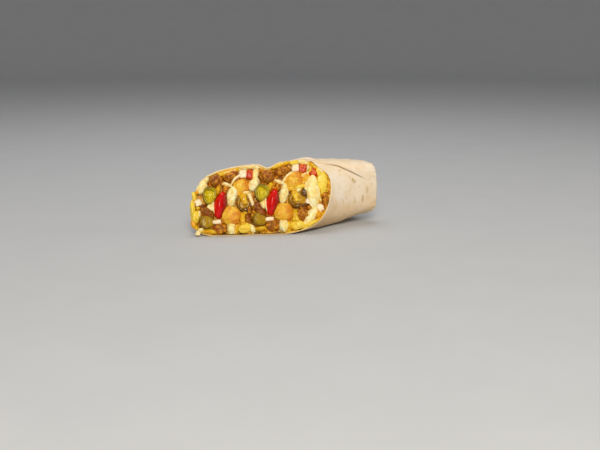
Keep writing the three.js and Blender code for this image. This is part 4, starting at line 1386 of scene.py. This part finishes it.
# Fried sausage: tan and mid brown grains, with red-brown patches where it took more roasting and paler fat,
# and shade painted dark brown into the creases between grains.
def sausageFinish():
    f = Finish("friedSausage", tints["friedSausage"])
    base = f.mix(f.mottling(3.2, 0.38, 0.62), colour(136, 74, 28), colour(212, 148, 80))
    base = f.lay(base, f.value("roast"), 0.75, 122, 62, 26)
    base = f.lay(base, f.mottling(6.0, 0.54, 0.66), 0.75, 142, 58, 22)
    base = f.lay(base, f.specks(1.9, 0.36, 0.3), 0.6, 230, 180, 116)
    # painted shade in the creases between grains
    base = f.lay(base, f.value("deep"), 0.5, 92, 46, 16)
    return f.finish(base, (0.3, 0.55), bump=0.5, coarse=1.3, fine=0.4, subsurface=0.06, scatter=0.002,
                    radius=(1.0, 0.4, 0.2), specular=0.35)


# The tots' crust: golden shreds of potato, orange-brown towards each tot's right and lower side, and with
# shade painted orange-brown into the creases between its shreds.
def totFinish():
    f = Finish("potatoCrust", tints["potatoCrust"])
    base = f.mix(f.mottling(4.6, 0.36, 0.62), colour(248, 186, 76), colour(255, 214, 112))
    # orange-brown towards the right and lower side
    base = f.lay(base, f.value("browned"), 0.85, 232, 140, 44)
    base = f.lay(base, f.mottling(5.0, 0.52, 0.68), 0.5, 234, 146, 48)
    base = f.lay(base, f.specks(2.2, 0.34, 0.2), 0.4, 206, 112, 32)
    # painted shade in the creases between shreds
    base = f.lay(base, f.value("deep"), 0.45, 218, 128, 36)
    return f.finish(base, (0.38, 0.62), bump=0.45, coarse=1.2, fine=0.4, subsurface=0.08, scatter=0.002,
                    radius=(1.0, 0.6, 0.2), specular=0.45)


# Pickled pepper: olive rind round yellow-green flesh, paler at its heart, with cream seeds, all wet.
def pepperFinish(name, flesh, fleshLight, rind, heart):
    f = Finish(name, tints[name])
    base = f.mix(f.mottling(3.0), colour(*flesh), colour(*fleshLight))
    skinColour = f.mix(f.mottling(2.4), colour(*rind), colour(*(c * 0.75 for c in rind)))
    core = f.value("heart")
    base = f.mix(f.remap(core, 0.0, 1.0), base, colour(*heart))
    base = f.mix(f.value("rind"), base, skinColour)
    base = f.mix(f.remap(core, 1.2, 1.8, 0.0, 0.8), base, colour(244, 228, 140))
    return f.finish(base, (0.2, 0.38), bump=0.12, coarse=2.4, fine=0.8, subsurface=0.15, scatter=0.002,
                    radius=(0.8, 1.0, 0.2), specular=0.45, coat=0.15, coatRough=0.15)


def tomatoFinish(name, skinColour, dark, flesh, gloss):
    f = Finish(name, tints[name])
    base = f.mix(f.mottling(6.0), colour(*skinColour), colour(*dark))
    base = f.mix(f.times(f.value("flesh"), 0.85), base, colour(*flesh))
    # painted shade: the wedge's right side darker
    base = f.mix(f.times(f.value("dusk"), 0.8), base, colour(*(c * 0.72 for c in dark)))
    return f.finish(base, gloss, bump=0.12, coarse=2.5, fine=0.8, subsurface=0.08, scatter=0.002,
                    radius=(1.0, 0.2, 0.05), specular=0.35, coat=0.12, coatRough=0.15)


def onionFinish():
    f = Finish("onionDice", tints["onionDice"])
    base = f.mix(f.mottling(3.6), colour(255, 232, 200), colour(255, 245, 226))
    base = f.lay(base, f.mottling(2.0, 0.55, 0.75), 0.45, 250, 214, 160)
    return f.finish(base, (0.25, 0.45), bump=0.15, coarse=2.0, fine=0.6, subsurface=0.25, scatter=0.003,
                    radius=(1.0, 0.85, 0.6), specular=0.45)


def cheeseFinish(name, dark, light, gloss=(0.22, 0.42)):
    f = Finish(name, tints[name])
    base = f.mix(f.mottling(4.0), colour(*dark), colour(*light))
    base = f.lay(base, f.value("butter"), 0.9, 253, 222, 222)
    base = f.lay(base, f.value("amber"), 0.9, 240, 168, 34)
    return f.finish(base, gloss, bump=0.2, coarse=2.2, fine=0.7, subsurface=0.15, scatter=0.002,
                    radius=(1.0, 0.7, 0.2), specular=0.5)


tortillaMaterial, bedMaterial = tortillaFinish(), bedFinish()
eggMaterial, herbEggMaterial = eggFinish("scrambledEgg", False), eggFinish("herbEgg", True)
sausageMaterial, totMaterial, onionMaterial = sausageFinish(), totFinish(), onionFinish()
pepperMaterials = {
    "high": pepperFinish("pepperBright", (194, 184, 44), (220, 208, 66), (122, 104, 34), (232, 218, 74)),
    "mid": pepperFinish("pepperPale", (190, 168, 66), (216, 198, 104), (134, 106, 44), (224, 210, 124)),
    "low": pepperFinish("pepperOlive", (188, 160, 50), (204, 178, 66), (150, 120, 40), (190, 166, 60)),
}
wedgeMaterial = tomatoFinish("tomatoWedge", (222, 38, 22), (200, 22, 14), (236, 84, 56), (0.16, 0.3))
diceMaterial = tomatoFinish("tomatoDice", (228, 88, 46), (216, 62, 32), (246, 150, 110), (0.38, 0.55))
goldMaterial = cheeseFinish("yellowCheese", (224, 160, 32), (241, 202, 86))
paleMaterial = cheeseFinish("paleCheese", (252, 218, 152), (255, 240, 200))
print("materials made")

makePiece("wrap", faceOutwards(wrapShell()), tortillaMaterial, ["tortilla"])
print("tortilla wrapped")
makePiece("bed", fillingShells(), bedMaterial, ["filling"])
print("filling spread")

# form, slot and material of each kind, and the pieces that have a material of their own
forms = {
    "egg": (eggForm, "egg", eggMaterial), "sausage": (sausageForm, "sausage", sausageMaterial),
    "tot": (totForm, "potato_tot", totMaterial), "jalapeno": (pepperForm, "pickled_pepper", None),
    "tomato_wedge": (wedgeForm, "tomato", wedgeMaterial), "tomato": (diceForm, "tomato", diceMaterial),
    "onion": (diceForm, "onion", onionMaterial),
}
ownMaterials = {("egg", "herb"): herbEggMaterial, ("egg", "foot"): goldMaterial}
ownMaterials |= {("jalapeno", name): material for name, material in pepperMaterials.items()}
for piece in allPieces:
    kind, name = piece["kind"], piece.get("name")
    form, slotName, material = forms[kind]
    extra = {"cutAs": name} if kind == "jalapeno" else {}
    if kind == "sausage":
        extra["roast"] = piece["roast"]
    shell = form(piece["size"], piece["seed"], **extra)
    turned, swing = piece.get("turned", 0), piece.get("swing", 0)
    shell["points"] = keepInside(onCut(shell["points"], piece["at"], piece.get("out", 0), turned, swing))
    # the foot is whitened with butter colour, half as much in its folds' hollows, which leaves painted shade
    # there
    if name == "foot":
        shell["values"]["butter"] = 1 - 0.5 * shell["values"]["deep"]
    if kind != "jalapeno":
        shell = faceOutwards(shell)
    material = ownMaterials.get((kind, name), material)
    makePiece("cooked_" + piece["node"], shell, material, [piece["node"]])
print("pieces placed")

makePiece("gold_strips", stripShells(goldStrips, 200), goldMaterial, ["filling"])
makePiece("pale_strips", stripShells(paleStrips, 300), paleMaterial, ["filling"])
makePiece("drip", stripForm(*hangingDrip, 350), paleMaterial, ["filling"])

# the soft bits' kinds, each with its form, seed, material and slot
softKinds = [
    ("cream", eggForm, 400, eggMaterial, "egg"),
    ("gold", eggForm, 500, goldMaterial, "egg_and_cheese"),
    ("butter", eggForm, 700, goldMaterial, "egg_and_cheese"),
    ("amber", eggForm, 900, goldMaterial, "egg_and_cheese"),
    ("olive", eggForm, 1000, pepperMaterials["mid"], "pickled_pepper"),
    ("orange", sausageForm, 800, totMaterial, "potato_tot"),
    ("tan", sausageForm, 600, sausageMaterial, "sausage"),
]
for kind, form, seed, material, slotName in softKinds:
    makePiece(kind + "_bits", softShells(kind, form, seed), material, ["filling"])
strewnKinds = [
    ("sausage", sausageMaterial, "sausage"), ("egg", eggMaterial, "egg"),
    ("gold", goldMaterial, "egg_and_cheese"),
]
for kind, material, slotName in strewnKinds:
    makePiece("loose_" + kind, strewnBits(kind), material, ["filling"])
print(f"strips and bits laid, {triangleCount} triangles in all")

stage = {"reach": 2.4, "curve": 1.0, "wall": 1.6, "around": 96, "colour": (198, 202, 210)}


# A pale round floor whose edge sweeps up to a wall: a flat, a quarter circle and a straight, turned round.
def makeFloor():
    bend = np.linspace(0, np.pi / 2, 24)
    sweep = stage["reach"] + stage["curve"] * np.sin(bend[1:])
    reach = np.concatenate([[0.001, 0.6, 1.4, stage["reach"]], sweep])
    height = np.concatenate([[0, 0, 0, 0], stage["curve"] * (1 - np.cos(bend[1:]))])
    reach, height = np.append(reach, reach[-1]), np.append(height, height[-1] + stage["wall"])
    around = stage["around"]
    turn = wholeTurn(around)
    x, y = reach[:, None] * np.cos(turn), reach[:, None] * np.sin(turn)
    points = np.stack([x, y, np.broadcast_to(height[:, None], x.shape)], -1).reshape(-1, 3)
    i, j = np.arange(len(reach) - 1)[:, None] * around, np.arange(around)[None, :]
    k = (j + 1) % around
    quads = np.stack([i + j, i + k, i + around + k, i + around + j], -1).reshape(-1, 4)
    mesh = bpy.data.meshes.new("floor")
    mesh.from_pydata(points.tolist(), [], quads[:, ::-1].tolist())
    mesh.polygons.foreach_set("use_smooth", np.ones(len(quads), bool))
    floor = bpy.data.objects.new("floor", mesh)
    bpy.context.scene.collection.objects.link(floor)
    paper = Finish("floorPaper")
    darker = (c - 2 for c in stage["colour"])
    pale = paper.mix(paper.mottling(60, 0.3, 0.7), colour(*stage["colour"]), colour(*darker))
    mesh.materials.append(paper.finish(pale, (0.8, 0.9), bump=0.02, specular=0.1))


makeFloor()

lamps = [
    # name, place, size, power, colour
    ("keyLamp", (-0.72, -0.95, 0.8), 0.6, 14.0, (1.0, 0.91, 0.76)),
    ("topLamp", (0.15, 0.35, 1.2), 0.9, 4.6, (1.0, 0.98, 0.94)),
    ("fillLamp", (0.9, -0.8, 0.5), 0.8, 1.4, (1.0, 0.92, 0.8)),
]
for name, place, size, power, tint in lamps:
    light = bpy.data.lights.new(name, "AREA")
    light.shape, light.size, light.energy, light.color = "DISK", size, power, tint
    lamp = bpy.data.objects.new(name, light)
    lamp.location = place
    lamp.rotation_euler = (Vector((0, 0, 0.03)) - Vector(place)).to_track_quat("-Z", "Y").to_euler()
    bpy.context.scene.collection.objects.link(lamp)
world = bpy.data.worlds.new("softRoom")
world.use_nodes = True
world.node_tree.nodes["Background"].inputs["Color"].default_value = (1.0, 0.95, 0.86, 1)
world.node_tree.nodes["Background"].inputs["Strength"].default_value = 0.3
bpy.context.scene.world = world
bpy.context.scene.view_settings.view_transform = "Standard"
bpy.context.scene.view_settings.look = "None"

# The camera looks at the side of the burrito from just above, with the burrito left of and above the middle.
camera = {
    "azimuth": -40, "elevation": 11.4, "away": 740, "lens": 48.96,
    "centre": (86, 0, 32.4), "aim": (18.6, 27.9),
}
azimuth, elevation = math.radians(camera["azimuth"]), math.radians(camera["elevation"])
backwards = np.array([
    math.sin(azimuth) * math.cos(elevation), -math.cos(azimuth) * math.cos(elevation), math.sin(elevation),
])
rightwards = np.array([math.cos(azimuth), math.sin(azimuth), 0])
upwards = np.cross(backwards, rightwards)
middle = np.array(camera["centre"]) + toRow
place = Vector((middle + camera["away"] * backwards) / 1000)
target = Vector((middle + camera["aim"][0] * rightwards - camera["aim"][1] * upwards) / 1000)
lens = bpy.data.cameras.new("camera")
lens.lens, lens.sensor_width = camera["lens"], 36
view = bpy.data.objects.new("camera", lens)
view.location = place
view.rotation_euler = (target - place).to_track_quat("-Z", "Y").to_euler()
bpy.context.scene.collection.objects.link(view)
bpy.context.scene.camera = view
print("stage set")
